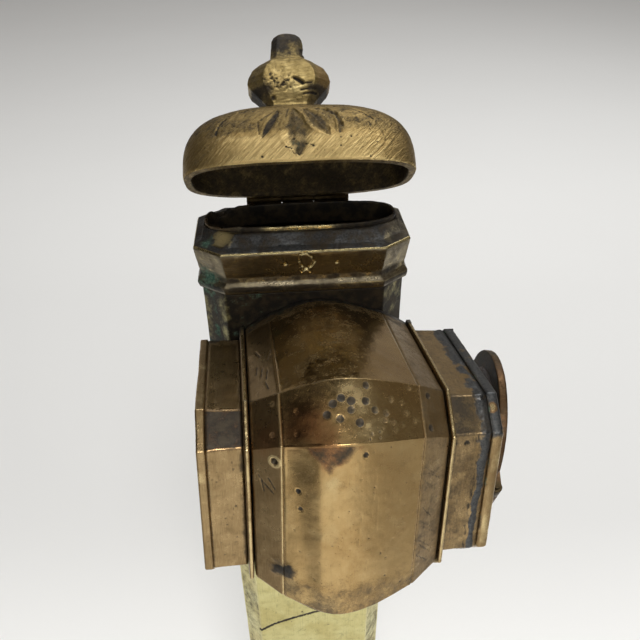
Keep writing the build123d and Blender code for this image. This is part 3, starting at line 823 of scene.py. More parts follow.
def age_belly(skin):
    y, z, side, broad, fine = skin.y, skin.z, skin.side, skin.broad, skin.fine
    rng = np.random.RandomState(11)
    shape_belly(skin)
    mark_belly(skin, rng)
    solder_smear(skin, (-19.73, -8.85, -9.3), radius=2.3, height=0.15, dark=1.25)
    # film of grime on the top; painted shade low on the front, where it reflects the shadowed tube
    # and floor
    skin.cover(dirt=on_side(skin, 3) * smooth(8.5, 4.5, np.abs(z + 1.0)) * (0.25 + 0.10 * broad))
    skin.cover(dirt=(0.45 + 0.2 * broad) * smooth(-6, -14, y) * (side > 4.4))
    # pale rubbed patches among the punches: place, radius, amount
    for place, radius, amount in (((-18.6, 19.6, 0.6), 6.4, 0.50), ((-20.9, 16.9, 3.0), 3.6, 0.50),
                                  ((-17.0, 20.5, -1.0), 5.4, 0.26)):
        skin.add(tone=-amount * falloff(skin.distance(place) + 1.4 * fine, radius))
    # reddish bronze on the left of the sloping facet and round the tapered end
    stretched = (skin.points - np.array((-19.0, 17.6, -6.0))) * np.array([1, 1, 0.6])
    skin.add(tone=0.75 * falloff(np.linalg.norm(stretched, axis=-1) + 2.0 * broad, 6.5))
    skin.add(tone=0.5 * falloff(skin.distance((-21.6, 14.0, -3.6)) + 1.0 * broad, 3.6))
    skin.cover(dirt=0.40 * bell(z + 9.55, 0.22) * (0.6 + fine))
    skin.cover(dirt=0.45 * bell(z - 10.6, 0.18) * (0.6 + fine))
    # browned wedge running down from the sloping facet, with a bright flick at its tip
    front = window(side, 4.45, 4.6, 5.4, 5.6)
    up = (y - 10.4) / 5.0
    beyond = np.abs(z + 3.4 - 0.2 * up) - 4.3 * unit(up) + 1.1 * broad + 0.4 * fine
    wedge = smooth(0.0, 0.12, up + 0.10 * broad) * smooth(0.9, -1.2, beyond) * front
    flick = falloff(np.hypot((z + 3.0) / 1.2, (y - 9.3) / 2.0) + 0.3 * fine, 1.25) * front
    skin.tone = skin.tone * (1 - wedge) + 0.75 * wedge - 0.30 * flick
    skin.cover(dirt=(0.52 + 0.3 * broad) * wedge)
    # fine dark scratches down the front
    for _ in range(9):
        start_y, start_z = rng.uniform(-10, 13), rng.uniform(-3, 9)
        length = rng.uniform(2, 9)
        across = belly_size(start_z)[0]
        skin.stroke((-across, start_y, start_z),
                    (-across + 0.05, start_y - length, start_z + rng.uniform(-1.0, 0.6)),
                    width=0.06, depth=0.03, dark=0.30, rim=0.0)
    skin.add(tone=-0.25 * window(side, 4.4, 4.7, 5.4, 5.8) * smooth(0.1, 0.5, broad))


def age_base_band(skin):
    z, broad = skin.z, skin.broad
    skin.cover(dirt=0.50 * bell(z + 14.0, 0.40) * (0.75 + 0.6 * broad),
               wear=0.75 * bell(z + 9.95, 0.16) * (skin.side > 4.4))
    for place in ((-14.73, 18.24, -10.85), (-17.73, 14.99, -11.08)):
        skin.punch(place, 0.5, 0.10, dark=0.45, rim=0.01, rub=0.1)
    skin.punch((-2.34, 19.53, -10.25), 0.5, 0.12, dark=0.3)
    # deep round hole with a bright raised rim
    hole = skin.surface_distance((-19.2, 11.41, -10.95))
    skin.shift -= 0.75 * smooth(0.55, 0.25, hole)
    skin.shift += 0.10 * bell(hole - 0.80, 0.20)
    skin.dirt = skin.dirt * smooth(0.6, 1.0, hole)
    skin.cover(dirt=1.3 * smooth(0.62, 0.42, hole), wear=1.5 * bell(hole - 0.86, 0.20))
    skin.add(tone=-1.0 * bell(hole - 0.86, 0.22))
    for start, end in BASE_BAND_SCRATCHES:
        skin.stroke(start, end, width=0.15, depth=0.14, dark=0.75)
    solder_smear(skin, (-19.7, -8.85, -10.2), radius=2.2, height=0.18, dark=1.3)
    skin.add(tone=0.55 * falloff(skin.distance((-17.5, 14.5, -12.5)) + 1.5 * broad, 5.0))


def age_mouth_band(skin):
    skin.cover(dirt=0.75 * bell(skin.z - 15.35, 0.35) * (0.75 + 0.6 * skin.broad))
    skin.cover(dirt=0.33 + 0.15 * skin.broad)
    for place in ((-14.62, 18.03, 12.23), (-18.12, 14.78, 11.98)):
        skin.punch(place, 0.55, 0.2, dark=0.75)
    rng = np.random.RandomState(5)
    slope = (BAND_END[0] - BELLY_END[0]) / (BAND_RIGHT - BELLY_RIGHT)

    def across(z):
        return BELLY_END[0] + slope * (z - BELLY_RIGHT)

    # groups of three slanting ticks, on the front and then on the top
    for group_y in (9.0, 6.6, 1.6, -1.4, -5.4, -8.4):
        for k in range(3):
            z0 = 11.3 + 0.35 * k + rng.uniform(-0.1, 0.1)
            z1 = z0 + 2.1 + rng.uniform(-0.5, 0.3)
            y = group_y - 0.75 * k + rng.uniform(-0.15, 0.15)
            skin.stroke((-across(z0), y, z0), (-across(z1), y - 2.2 - rng.uniform(-0.4, 0.4), z1),
                        width=0.10, depth=0.07, dark=0.34 + 0.3 * rng.rand())
    for group_x in (-13.0, -9.4, -6.0, -2.6, 0.6):
        for k in range(3):
            z0 = 11.4 + 0.4 * k + rng.uniform(-0.1, 0.1)
            z1 = z0 + 2.2 + rng.uniform(-0.4, 0.3)
            x = group_x + 0.8 * k
            skin.stroke((x, across(z0), z0), (x - 2.0, across(z1), z1),
                        width=0.10, depth=0.08, dark=0.40)


def age_base_drum(skin):
    broad = skin.broad
    skin.cover(dirt=0.50 * bell(skin.z + 15.5, 0.50) * (0.8 + 0.6 * broad))
    skin.cover(dirt=0.55 * bell(skin.z + 20.55, 0.18))
    sloping = on_side(skin, 4)
    skin.add(bare=sloping, tone=0.60 * sloping)
    # painted shade: the sloping facet darkened to match the dark reflection it shows
    skin.cover(dirt=(0.76 + 0.06 * broad) * sloping)
    rng = np.random.RandomState(21)
    for _ in range(26):
        skin.punch((-15.5, rng.uniform(-10, 12), rng.uniform(-20, -16)), rng.uniform(0.10, 0.26),
                   rng.uniform(0.04, 0.10), rng.uniform(0.25, 0.65), rim=0.01)
    for _ in range(7):
        x = rng.uniform(-12, 6)
        z = rng.uniform(-20.2, -17)
        skin.stroke((x, 15.5, z), (x - rng.uniform(2, 6), 15.5, z + rng.uniform(-0.4, 0.5)),
                    width=0.06, depth=0.04, dark=0.45, rim=0)


def age_mouth_drum(skin):
    y, z, broad, fine = skin.y, skin.z, skin.broad, skin.fine
    wave = 0.5 * fractal(skin.points * np.array([1, 1, 0.0]), 0.33, 40, 3)
    skin.cover(dirt=0.80 * bell(z - 16.9 - 0.3 * wave, 0.35 + 0.25 * (broad + 0.5))
               * (0.75 + 0.6 * broad))
    sloping = on_side(skin, 4)
    skin.add(bare=0.8 * sloping)
    # grime all over, and painted shade on the sloping facet for the dark reflection it shows
    skin.cover(dirt=0.39 + 0.15 * broad * (1 - 0.5 * sloping) + 0.32 * sloping)
    # run-out solder along the end plate's joint, wider towards the top
    drip = np.clip(fractal(skin.points * np.array([1, 1, 0.2]), 0.8, 47, 3), -0.4, 1)
    beyond = z - (21.75 + 0.55 * wave - 0.5 * smooth(6, -12, y) - 0.35 * drip)
    skin.shift += 0.28 * bell(beyond, 0.62) * (0.7 + 0.5 * fine)
    skin.sold = unit(1.15 * bell(beyond, 0.62 + 0.9 * smooth(2.0, 12.0, y))
                     * (0.80 + 0.8 * broad + 0.5 * fine))
    skin.dirt = skin.dirt * (1 - 0.5 * skin.sold)
    skin.cover(dirt=0.75 * bell(beyond + 1.0, 0.22) * (0.7 + fine))
    skin.punch((-15.76, 9.91, 18.75), 0.45, 0.2, dark=0.8)
    # scratches on the front and then on the top
    rng = np.random.RandomState(9)
    for _ in range(64):
        y0 = rng.uniform(-9, 12)
        z0 = rng.uniform(17.2, 20.8)
        skin.stroke((-15.7, y0, z0),
                    (-15.7, y0 - rng.uniform(1.5, 6), z0 - rng.uniform(-0.2, 1.1)),
                    width=rng.uniform(0.05, 0.10), depth=0.04, dark=rng.uniform(0.12, 0.50),
                    rim=0.01)
    for _ in range(14):
        x0 = rng.uniform(-12, 4)
        z0 = rng.uniform(17.2, 20.4)
        skin.stroke((x0, 15.7, z0), (x0 + rng.uniform(1.5, 4), 15.7, z0 + rng.uniform(-0.6, 0.3)),
                    width=0.07, depth=0.05, dark=rng.uniform(0.2, 0.5), rim=0.01)
    skin.add(tone=0.8 * falloff(skin.distance((-13.2, 14.4, 22.0)), 1.5))


def age_ridge(skin, seed):
    off_crest = np.abs(skin.z - skin.z.mean())
    skin.shift = skin.shift * 0.5 + 0.07 * skin.noise(0.9, seed, 3)
    skin.cover(dirt=0.5 * smooth(0.30, 0.54, off_crest) * (0.8 + 0.6 * skin.broad),
               wear=smooth(0.38, 0.12, off_crest) * (0.75 + 0.5 * skin.broad))


def make_pot_sheets():
    rows = [(z, *belly_size(z)) for z in np.linspace(BELLY_LEFT, BELLY_RIGHT, 122)]
    pot_sheet("pot_belly", "_sheet", rows, [*rows[:101:20], rows[121]], BELLY_FLATS, 0.24,
              age_belly, POT_BRASS)
    # node, (z, across flats, side) stations, row spacing, side counts, ageing
    for node, stations, spacing, flats, age in (
            ("pot_base_band", [(-14.15, *BAND_END), (BELLY_LEFT, *BELLY_END)], 0.17,
             BELLY_FLATS, age_base_band),
            ("pot_mouth_band", [(BELLY_RIGHT, *BELLY_END), (BAND_RIGHT, *BAND_END)], 0.17,
             BELLY_FLATS, age_mouth_band),
            ("pot_base_drum", [(-20.7, 15.75, 11.3), (-19.3, 15.6, 11.4), (-15.25, 15.5, 11.4)],
             0.20, END_FLATS, age_base_drum),
            ("pot_mouth_drum", [(16.55, 15.85, 11.5), (22.7, 15.6, 11.4)], 0.17,
             END_FLATS, age_mouth_drum)):
        rows = resample(stations, spacing)
        pot_sheet(node, "_sheet", rows, [rows[0], rows[-1]], flats, 0.45, age)
    # half-round wires between bands and drums
    half = 0.55
    for seed, middle, node in ((33, -14.7, "pot_base_ridge"), (34, 16.0, "pot_mouth_ridge")):
        rows = []
        for w in np.linspace(-1, 1, 13):
            rise = max(0.0, 1 - abs(w) ** 2.6) ** 0.6
            rows.append((middle + half * w, 16.9 + 0.72 * rise, 12.1 + 0.30 * rise))
        inner = [(middle - half, 15.5, 11.4), (middle + half, 15.5, 11.4)]
        pot_sheet(node, "_wire", rows, inner, END_FLATS, 0.5,
                  lambda skin, seed=seed: age_ridge(skin, seed))


def plate_ring(across, side):
    return pot_ring(across, side, 0.4, END_FLATS)


def make_base_plate():
    """Plate closing the pot's left end, from the middle of its outer face round to the inner"""
    across, side = PLATE
    # z, across flats, side, whether the row is on the rim
    rows = [(-22.1, across * q, side * q, 0) for q in np.linspace(0.03, 0.97, 30)]
    for w in np.linspace(0, math.pi / 2, 5):
        rows.append((-22.1 + 0.3 * (1 - math.cos(w)), across - 0.3 + 0.3 * math.sin(w),
                     side - 0.2 + 0.2 * math.sin(w), 1))
    rows += [(z, across, side, 1) for z in np.linspace(-21.7, -20.9, 5)]
    rows += [(-20.72, 15.75, 11.3, 0), (-20.7, 15.3, 11.1, 0), (-20.7, 8, 6, 0),
             (-20.7, 0.5, 0.35, 0)]
    skin = Skin(stack([plate_ring(*row[1:3]) for row in rows], [row[0] for row in rows]))
    broad, fine = skin.noise(0.35, 70), skin.noise(1.2, 71, 3)
    rim = np.array([row[3] for row in rows])[:, None]
    face = (np.arange(len(rows)) < 34)[:, None]
    skin.shift = ((0.12 * skin.noise(0.12, 72, 3) + 0.05 * skin.noise(0.7, 73, 3)) * face
                  * smooth(15.9, 14.5, np.abs(skin.x)))
    world_y = in_frame(skin.points, POT_FRAME)[..., 1]
    skin.wear = unit(rim * (0.35 + 0.6 * broad))
    skin.dirt = unit(0.25 + 0.5 * broad + 0.4 * smooth(-15, -10, world_y)) * (1 - 0.6 * rim)
    skin.verd = unit(0.15 + 0.6 * fine) * smooth(-16, -10, world_y + 3 * broad)
    skin.tone = 0.3 * broad
    build("pot_base_plate_sheet", skin.grid(), POT_FRAME, ends=True, cut_y=BACK_Y,
          coats=skin.coats("wear", "dirt", "verd", "tone"), node="pot_base_plate",
          material=BAND_BRASS, slot="pot_brass")


def make_mouth_plate():
    """Plate on the pot's right end, with the round hole for the neck"""
    centre = np.array([MOUTH_X, MOUTH_Y])
    rays = plate_ring(*PLATE) - centre
    hole = centre + rays / np.linalg.norm(rays, axis=1, keepdims=True) * MOUTH_R
    rings, rim = [], []

    def add(ring, z, paleness=0.0):
        rings.append(at_height(ring, z))
        rim.append(paleness)

    for q in np.linspace(0, 1, 6):
        add(hole * (1 - q) + plate_ring(15.7, 11.3) * q, 22.7)
    # outer rim: z, across flats, rubbed
    for z, across, paleness in ((22.75, 15.76, 0.1), (22.95, 15.84, 0.5), (23.2, 15.90, 1),
                              (23.6, 15.93, 1), (24.0, 15.92, 1), (24.25, 15.86, 1),
                              (24.4, 15.72, 1), (24.47, 15.5, 0.9)):
        add(plate_ring(across, PLATE[1] - (15.93 - across) * 0.8), z, paleness)
    for q in np.linspace(1, 0, 24):
        add(hole * (1 - q) + plate_ring(15.3, 11.05) * q, 24.5)
    for z in (24.3, 23.6, 22.9):
        add(hole, z)
    skin = Skin(np.stack(rings), closed=True)
    rim = np.array(rim)[:, None]
    broad, fine = skin.noise(0.35, 80), skin.noise(1.2, 81, 3)
    off_hole = smooth(0.3, 2.0, np.hypot(skin.x - MOUTH_X, skin.y - MOUTH_Y) - MOUTH_R)
    skin.shift = ((0.07 * skin.noise(0.15, 82, 3) + 0.05 * skin.noise(0.8, 83, 3)) * off_hole
                  * (skin.z > 22.8))
    skin.dirt = unit(0.45 + 0.5 * broad) * (1 - 0.75 * rim)
    skin.verd = unit(0.2 + 0.8 * fine) * (1 - rim)
    red_spot = skin.distance((-12.9, 14.2, 23.2))
    skin.tone = 0.9 * rim * falloff(red_spot, 2.0)
    upper = smooth(7.5, 11.5, skin.y + 1.5 * broad) * (1 - falloff(red_spot, 1.6))
    skin.sold = unit(upper * (0.75 + 0.5 * broad) * smooth(24.6, 24.3, skin.z))
    skin.wear = unit(rim * (0.55 + 0.6 * broad)) * (1 - 0.85 * upper)
    build("pot_mouth_plate_sheet", skin.grid(), POT_FRAME, closed=True, cut_y=BACK_Y,
          coats=skin.coats("wear", "dirt", "verd", "tone", "sold"), node="pot_mouth_plate",
          material=BAND_BRASS, slot="pot_brass")


def make_neck_ring():
    """Ring lining the mouth: outside, rounded edge, inside"""
    profile = [(8.06, z) for z in np.linspace(19.9, 24.5, 14)]
    profile += [(7.55 + 0.5 * math.cos(w), 24.48 + 0.14 * math.sin(w))
                for w in np.linspace(0, math.pi, 9)]
    profile += [(7.02, z) for z in np.linspace(24.3, 19.9, 14)]
    skin = Skin(swept(circle(160), profile, (MOUTH_X, MOUTH_Y)), closed=True)
    broad = skin.noise(0.6, 90)
    skin.shift = 0.03 * broad
    inside = (np.arange(len(profile)) > 22)[:, None]
    skin.dirt = unit(0.35 + 0.6 * broad + 0.4 * inside)
    skin.wear = unit(0.6 * smooth(24.35, 24.6, skin.z) + 0.3 * broad)
    build("ink_mouth_neck_ring", skin.grid(), POT_FRAME, closed=True,
          coats=skin.coats("dirt", "wear"), node="ink_mouth_neck", material=BAND_BRASS,
          slot="pot_brass")


# ================================================================ cap
# engraved leaves on the front: top (x, height), tip (x, height), half width, depth, dark,
# green, lean (above 1 widens them nearer the tip), whether there is a raised spine
CAP_LEAVES = [
    ((-0.9, 10.15), (-0.35, 0.95), 2.45, 0.34, 0.64, 0.34, 1.25, True),
    ((0.75, 9.95), (4.9, 4.3), 1.55, 0.28, 0.60, 0.30, 1.1, True),
    ((4.0, 9.4), (6.0, 5.0), 1.2, 0.16, 0.35, 0.2, 0.6, False),
    ((-3.3, 9.3), (-6.5, 4.0), 0.85, 0.24, 0.95, 0.1, 0.9, False)]
# engraved lines on the front: (x, height) points, width, depth, dark, raggedness
CAP_LINES = [
    ([(-1.7, 9.9), (-2.3, 7.6)], 0.24, 0.06, 0.55, 0.0),
    ([(-2.4, 3.4), (-1.2, 1.4), (0.2, 1.2)], 0.24, 0.06, 0.5, 0.15),
    ([(3.2, 9.8), (4.6, 9.6), (6.1, 8.4), (6.9, 6.6), (6.6, 5.0)], 0.50, 0.22, 0.62, 0.25),
    ([(-4.6, 9.0), (-6.9, 7.2), (-6.8, 4.9)], 0.2, 0.10, 0.6, 0.2),
    ([(-14.06, 5.57), (-13.4, 7.3), (-12.34, 8.33)], 0.26, 0.20, 0.9, 0.3),
    ([(-11.7, 9.0), (-10.2, 9.7), (-8.6, 10.05)], 0.22, 0.16, 0.85, 0.35),
    ([(8.4, 9.75), (10.6, 8.9), (12.4, 7.6)], 0.22, 0.18, 0.8, 0.2),
    ([(12.9, 6.8), (13.9, 5.0), (14.3, 3.4)], 0.2, 0.08, 0.42, 0.4),
    ([(8.6, 7.4), (10.6, 6.4), (12.2, 4.8)], 0.14, 0.07, 0.5, 0.25),
    ([(-2.6, 2.6), (-1.6, 2.2)], 0.2, 0.1, 0.8, 0.2),
    ([(0.9, 3.0), (2.1, 2.6)], 0.25, 0.12, 0.8, 0.3)]
CAP_POINTS = 760
DOME_H = np.linspace(0, CAP_FLAT, 4001)


def dome_scale(height, full_height=CAP_H):
    return (1 - (height / full_height) ** DOME_POWER) ** (1 / DOME_POWER)


# length up the front of the dome at each DOME_H
DOME_RUN = np.concatenate([[0], np.cumsum(np.hypot(np.diff(CAP_D * dome_scale(DOME_H)),
                                                   np.diff(DOME_H)))])


def unrolled(place):
    """(x, height) on the cap to (x, length up the dome)"""
    return np.array([place[0], np.interp(place[1], DOME_H, DOME_RUN)])


def leaf(skin, mask, top, tip, half_width, lean):
    """Pointed leaf: 1 on its spine falling to 0 at its rim, and the offset from the spine"""
    start, end = unrolled(top), unrolled(tip)
    length = np.linalg.norm(end - start)
    along = (end - start) / length
    offset = skin.plane - start
    t = offset @ along / length
    half = half_width * np.sin(np.pi * unit(t) ** lean) ** 0.8 + 1e-4
    sideways = offset @ np.array([-along[1], along[0]]) / half
    return np.where((t > 0) & (t < 1) & mask, 1 - np.abs(sideways), -1.0), sideways


def engrave_cap(skin, broad, fine, finest):
    front = skin.y < 0
    for top, tip, half_width, depth, dark, green, lean, spine in CAP_LEAVES:
        inside, sideways = leaf(skin, front, top, tip, half_width, lean)
        cup = smooth(0.0, 0.55, inside)
        skin.shift -= depth * cup * (0.85 + 0.4 * fine)
        if spine:
            skin.shift += depth * 0.45 * bell(sideways, 0.18) * cup
        rim = bell(inside + 0.12, 0.16) * (inside > -0.9)
        skin.shift += 0.07 * rim
        skin.cover(dirt=dark * cup * (0.90 + 0.5 * fine),
                   verd=green * cup * (0.6 + 0.8 * broad), wear=0.35 * rim)
    for places, width, depth, dark, ragged in CAP_LINES:
        for start, end in zip(places[:-1], places[1:]):
            d = skin.drawn(front, unrolled(start), unrolled(end))
            line = smooth(width, 0.25 * width, d + ragged * finest)
            skin.shift -= depth * line
            skin.cover(dirt=dark * line, wear=0.15 * bell(d - 1.5 * width, 0.5 * width))
    # two plain leaves on the back
    for sign in (-1, 1):
        inside, _ = leaf(skin, ~front, (sign * 5.2, 9.6), (sign * 7.4, 4.2), 1.3, 0.6)
        skin.shift -= 0.25 * smooth(0, 0.5, inside)
        skin.cover(dirt=0.7 * smooth(0, 0.5, inside))


def file_cap(skin, run, upper, fine_front):
    """File strokes rising to the right, strongest on the lower band"""
    for k, (pitch, depth) in enumerate(((3.4, 0.012), (5.0, 0.008))):
        angle = math.radians(36) + 0.10 * k
        across = -skin.x * math.sin(angle) + run * math.cos(angle)
        along = skin.x * math.cos(angle) + run * math.sin(angle)
        spread = np.stack([across * pitch * 1.15, along * 0.20 * pitch, 0 * along], -1)
        strokes = value_noise(spread, 1.0, 110 + k)
        skin.shift += depth * strokes * ((1 - upper) * fine_front + 0.4 * upper)
        skin.add(wear=0.12 * unit(strokes) * (1 - upper) * smooth(17, 12, np.abs(skin.x)),
                 dirt=0.30 * unit(-strokes - 0.15) * (1 - 0.4 * upper))


def pit_cap(skin):
    rng = np.random.RandomState(31)
    for _ in range(110):
        row = rng.randint(4, 100)
        centre = skin.points[row, rng.randint(0, CAP_POINTS)]
        radius = rng.uniform(0.12, 0.34)
        near = slice(max(0, row - 5), row + 6)
        distance = np.linalg.norm(skin.points[near] - centre, axis=-1)
        pit = smooth(radius, 0.3 * radius, distance)
        skin.shift[near] -= rng.uniform(0.04, 0.13) * pit
        skin.dirt[near] = np.maximum(skin.dirt[near], 0.85 * pit)


def cap_outside(outline):
    """Outer skin from the rim to the middle of the crown, and the lift of its ragged rim"""
    runs = np.linspace(0, DOME_RUN[-1], 104)
    profile = [(dome_scale(h), h) for h in np.interp(runs, DOME_RUN, DOME_H)]
    crown = np.linspace(0.92, 0.06, 9)
    profile += [(dome_scale(CAP_FLAT) * q, CAP_FLAT) for q in crown]
    skin = Skin(swept(outline, profile))
    run = np.concatenate([runs, DOME_RUN[-1] + 4 * (1 - crown)])[:, None] + 0 * skin.x
    skin.plane = np.stack([skin.x, run], -1)
    flat = skin.z > CAP_FLAT - 0.001
    skin.normals[flat] = (0, 0, 1)
    broad, fine, finest = skin.noise(0.22, 101), skin.noise(0.8, 102), skin.noise(2.4, 103, 3)
    front, off_middle = skin.y < 0, np.abs(skin.x)
    skin.shift = 0.13 * skin.noise(0.10, 104, 3) + 0.05 * skin.noise(0.45, 105, 3) + 0.018 * finest
    # pitted brown skin above the filed band
    upper = smooth(4.0, 6.2, run + 0.5 * fine)
    pits = (unit(skin.noise(1.9, 106, 3) - 0.14) + 0.55 * unit(skin.noise(3.4, 107, 2) - 0.22))
    skin.shift -= 0.16 * pits * upper
    skin.dirt = (0.70 * pits + 0.22 + 0.12 * broad + 0.10 * fine) * upper
    skin.tone = (0.75 * upper * (0.9 + 0.4 * broad)
                 + 0.55 * smooth(9, 15.5, off_middle) * (1 - upper))
    # painted shade: darker towards the cap's left, which reflects the dark left of the room
    skin.add(dirt=0.28 * smooth(-6, -17, skin.x + 2.0 * broad) * (0.6 + broad))
    file_cap(skin, run, upper, front)
    skin.add(wear=0.54 * (1 - upper) * front * (0.9 + 0.5 * broad) * smooth(17, 11, off_middle),
             tone=-0.42 * (1 - upper) * front * smooth(18, 11, off_middle))
    engrave_cap(skin, broad, fine, finest)
    pit_cap(skin)
    # bright arris along the rim
    rim = bell(run, 0.45)
    skin.add(wear=0.8 * rim * (0.7 + 0.6 * broad), tone=-0.5 * rim * front)
    skin.dirt = skin.dirt * (1 - 0.6 * rim)
    lift = 0.6 * (0.04 + 0.10 * unit(skin.noise(0.5, 120, 3))) * bell(run, 0.8)
    skin.shift = np.where(flat, -0.02, skin.shift * smooth(0, 0.5, DOME_RUN[-1] - run + 0.3))
    skin.shift = skin.shift - 0.12 * bell(run, 0.18)
    # painted shadow line round the finial's foot
    skin.cover(dirt=0.8 * (skin.z > 11.6) * (off_middle < 6.0))
    return skin, lift


def cap_inside(outline):
    """Inner skin from the middle of the crown out to the rim"""
    ceiling = CAP_FLAT - 1.55
    scale = lambda h: dome_scale(h, CAP_H - CAP_WALL)
    profile = [(scale(ceiling) * q, ceiling) for q in (0.08, 0.4, 0.75)]
    profile += [(scale(h), h) for h in ceiling * np.sin(np.linspace(math.pi / 2, 0.0, 34)) ** 0.8]
    skin = Skin(swept(outline, profile))
    skin.shift = ((0.10 * skin.noise(0.16, 131, 3) + 0.05 * skin.noise(0.7, 132, 3))
                  * smooth(0.0, 1.2, skin.z) * (skin.z < ceiling - 0.01))
    skin.dirt = unit(0.62 + 0.10 * skin.noise(0.35, 130))
    skin.tone = unit(0.9 * skin.noise(0.28, 133, 3) + 0.35)
    skin.verd = unit(0.2 * skin.noise(0.5, 134, 3))
    return skin


def make_cap():
    outline = super_ring(CAP_W, CAP_D, CAP_POINTS)
    inner_outline = super_ring(CAP_W - CAP_WALL, CAP_D - CAP_WALL, CAP_POINTS)
    outer, lift = cap_outside(outline)
    inner = cap_inside(inner_outline)
    outer_grid = outer.grid()
    outer_grid[..., 2] += lift
    # flat rim between the two faces: way across, share of the outer edge's lift
    rim = np.stack([at_height(inner_outline * (1 - w) + outline * w, lift[0] * share)
                    for w, share in ((0.15, 0.2), (0.4, 0.5), (0.7, 0.8), (0.9, 1.0))])
    coats = {}
    for layer, on_rim in (("dirt", 0.50), ("wear", 0.25), ("tone", 0.1), ("verd", 0.0)):
        outside = getattr(outer, layer)
        coats[layer] = np.concatenate([getattr(inner, layer), np.full(rim.shape[:2], on_rim),
                                       outside if layer == "tone" else unit(outside)])
    build("cap_shell_filed", np.concatenate([inner.grid(), rim, outer_grid]), CAP_FRAME,
          ends=True, coats=coats, body="cap", node="cap_shell", material=CAP_BRASS,
          slot="cap_brass")


# finial stations: z, half width, half depth, cut x, cut y
FINIAL_ROWS = [
    (0.0, 4.2, 3.0, 1.2, 1.1), (1.1, 4.12, 2.95, 1.2, 1.1), (1.5, 4.35, 3.1, 1.3, 1.2),
    (4.0, 6.8, 4.15, 2.5, 2.0), (5.1, 7.4, 4.4, 2.8, 2.2), (6.2, 7.2, 4.35, 2.8, 2.2),
    (7.6, 6.5, 4.0, 2.6, 2.0), (8.6, 5.3, 3.6, 2.2, 1.8), (9.2, 4.3, 3.2, 1.7, 1.5),
    (9.8, 3.05, 2.75, 1.0, 1.0), (13.2, 2.75, 2.6, 1.0, 1.0), (14.2, 2.35, 2.2, 0.9, 0.9),
    (14.95, 1.3, 1.2, 0.5, 0.5)]
FINIAL_FLATS = [14, 16, 14, 40, 14, 16, 14, 62]
# gouges on the right of its front: start (x, z), end, floor, width, depth, dark
FINIAL_GOUGES = [
    ((1.0, 5.0), (2.3, 4.2), 0.12, 0.42, 0.45, 1.0),
    ((2.0, 3.05), (4.4, 3.35), 0.05, 0.22, 0.16, 0.7),
    ((2.4, 2.45), (4.6, 2.7), 0.05, 0.22, 0.16, 0.7),
    ((2.2, 4.05), (3.9, 4.2), 0.05, 0.22, 0.16, 0.7)]


def age_finial(skin):
    x, y, z = skin.x, skin.y, skin.z
    broad, fine = skin.noise(0.4, 201), skin.noise(1.3, 202)
    front = y < -1.0
    skin.shift = (0.16 * skin.noise(0.28, 204, 3) + 0.06 * skin.noise(1.0, 205, 3)
                  + 0.02 * skin.noise(3.0, 203, 3))
    skin.wear = unit(skin.corner * (0.45 + 0.6 * broad))
    skin.dirt = unit(0.10 + 0.45 * broad)
    # nearly level file strokes
    strokes = value_noise(np.stack([(z - 0.18 * x) * 3.0, x * 0.35, y * 0.3], -1), 1.0, 207)
    skin.shift += 0.028 * strokes
    skin.add(wear=0.3 * unit(strokes) * front)
    # cluster of casting pits on the left of the front
    cluster = falloff(np.hypot((x + 1.9) / 1.5, z - 4.6) + 0.5 * fine, 2.9) * front
    pits = unit(skin.noise(2.9, 208, 2) + 0.04) * cluster
    skin.shift -= 0.55 * pits
    skin.cover(dirt=2.4 * pits)
    for start, end, floor, width, depth, dark in FINIAL_GOUGES:
        gouge = smooth(width, floor, skin.drawn(front, start, end))
        skin.shift -= depth * gouge
        skin.cover(dirt=dark * gouge)
    # nicks at the foot of the post and beside the foot: mask, (x, z), depth, radius,
    # dark, dark radius
    for mask, place, depth, radius, dark, dark_radius in (
            (y < 0.5, (2.85, 10.9), 0.35, 0.8, 0.95, 0.75),
            (front, (-2.9, 1.9), 0.3, 0.6, 0.9, 0.55)):
        d = skin.drawn(mask, place)
        skin.shift -= depth * falloff(d, radius)
        skin.cover(dirt=dark * falloff(d, dark_radius))
    # dark foot (painted shadow where it sits on the dome), browned side facets, sooty post, pale
    # rubbed patch low on the front
    skin.cover(dirt=0.85 * smooth(1.35, 0.2, z))
    sides = smooth(3.9, 5.4, np.abs(x) + 0.4 * broad) * (z > 2)
    skin.add(dirt=0.28 * sides + 0.5 * smooth(2.6, 4.0, np.abs(x)) * smooth(4.6, 3.4, z))
    skin.add(dirt=0.66 * smooth(8.9, 10.4, z) * (0.95 + 0.45 * broad))
    sideways = (x - 1.2) / 1.6
    skin.add(tone=0.45 * sides * (x > 0) - 0.35 * falloff(np.hypot(sideways, z - 3.6), 3.0) * front,
             wear=0.5 * falloff(np.hypot(sideways, z - 3.4), 2.6) * front)
    skin.shift = np.where(z > 14.9, -0.03, skin.shift * smooth(0.0, 0.3, z))
    skin.shift = np.clip(skin.shift, -0.9, 0.25)


def make_finial():
    rows = resample(FINIAL_ROWS, 0.16, soft=0.22)
    rings = [facet_ring(*row[1:], 0.35, FINIAL_FLATS) for row in rows]
    rings += [rings[-1] * 0.7, rings[-1] * 0.35]
    skin = Skin(stack(rings, [*rows[:, 0], 14.95, 14.96]), flats=FINIAL_FLATS)
    skin.normals[-3:] = (0, 0, 1)
    age_finial(skin)
    build("cap_finial_cast", skin.grid(), CAP_FRAME @ moved(FINIAL_X, 0, CAP_FLAT), ends=True,
          coats=skin.coats("wear", "dirt", "tone", clip=("wear", "dirt")), body="cap",
          node="cap_finial", material=FINIAL_BRASS, slot="cap_brass")


# ================================================================ collar and lip
MOUTH_FRAME = moved(0, 0, TOP)
COLLAR_FLATS = [18, 22, 18, 120, 18, 22, 18, 170]
FACE, SHOULDER, HOLE, INSIDE = range(4)  # parts of the collar's grid
# outer face: z, how far it lies inside the collar's full size
COLLAR_PROFILE = [
    (-8.4, 0.45), (-8.15, 0.22), (-7.6, 0.10), (-7.15, 0.04), (-6.7, 0.10), (-6.3, 0.34),
    (-6.0, 0.55), (-5.1, 0.62), (-4.3, 0.45), (-0.9, 0), (-0.35, -0.05), (0.0, 0.15)]
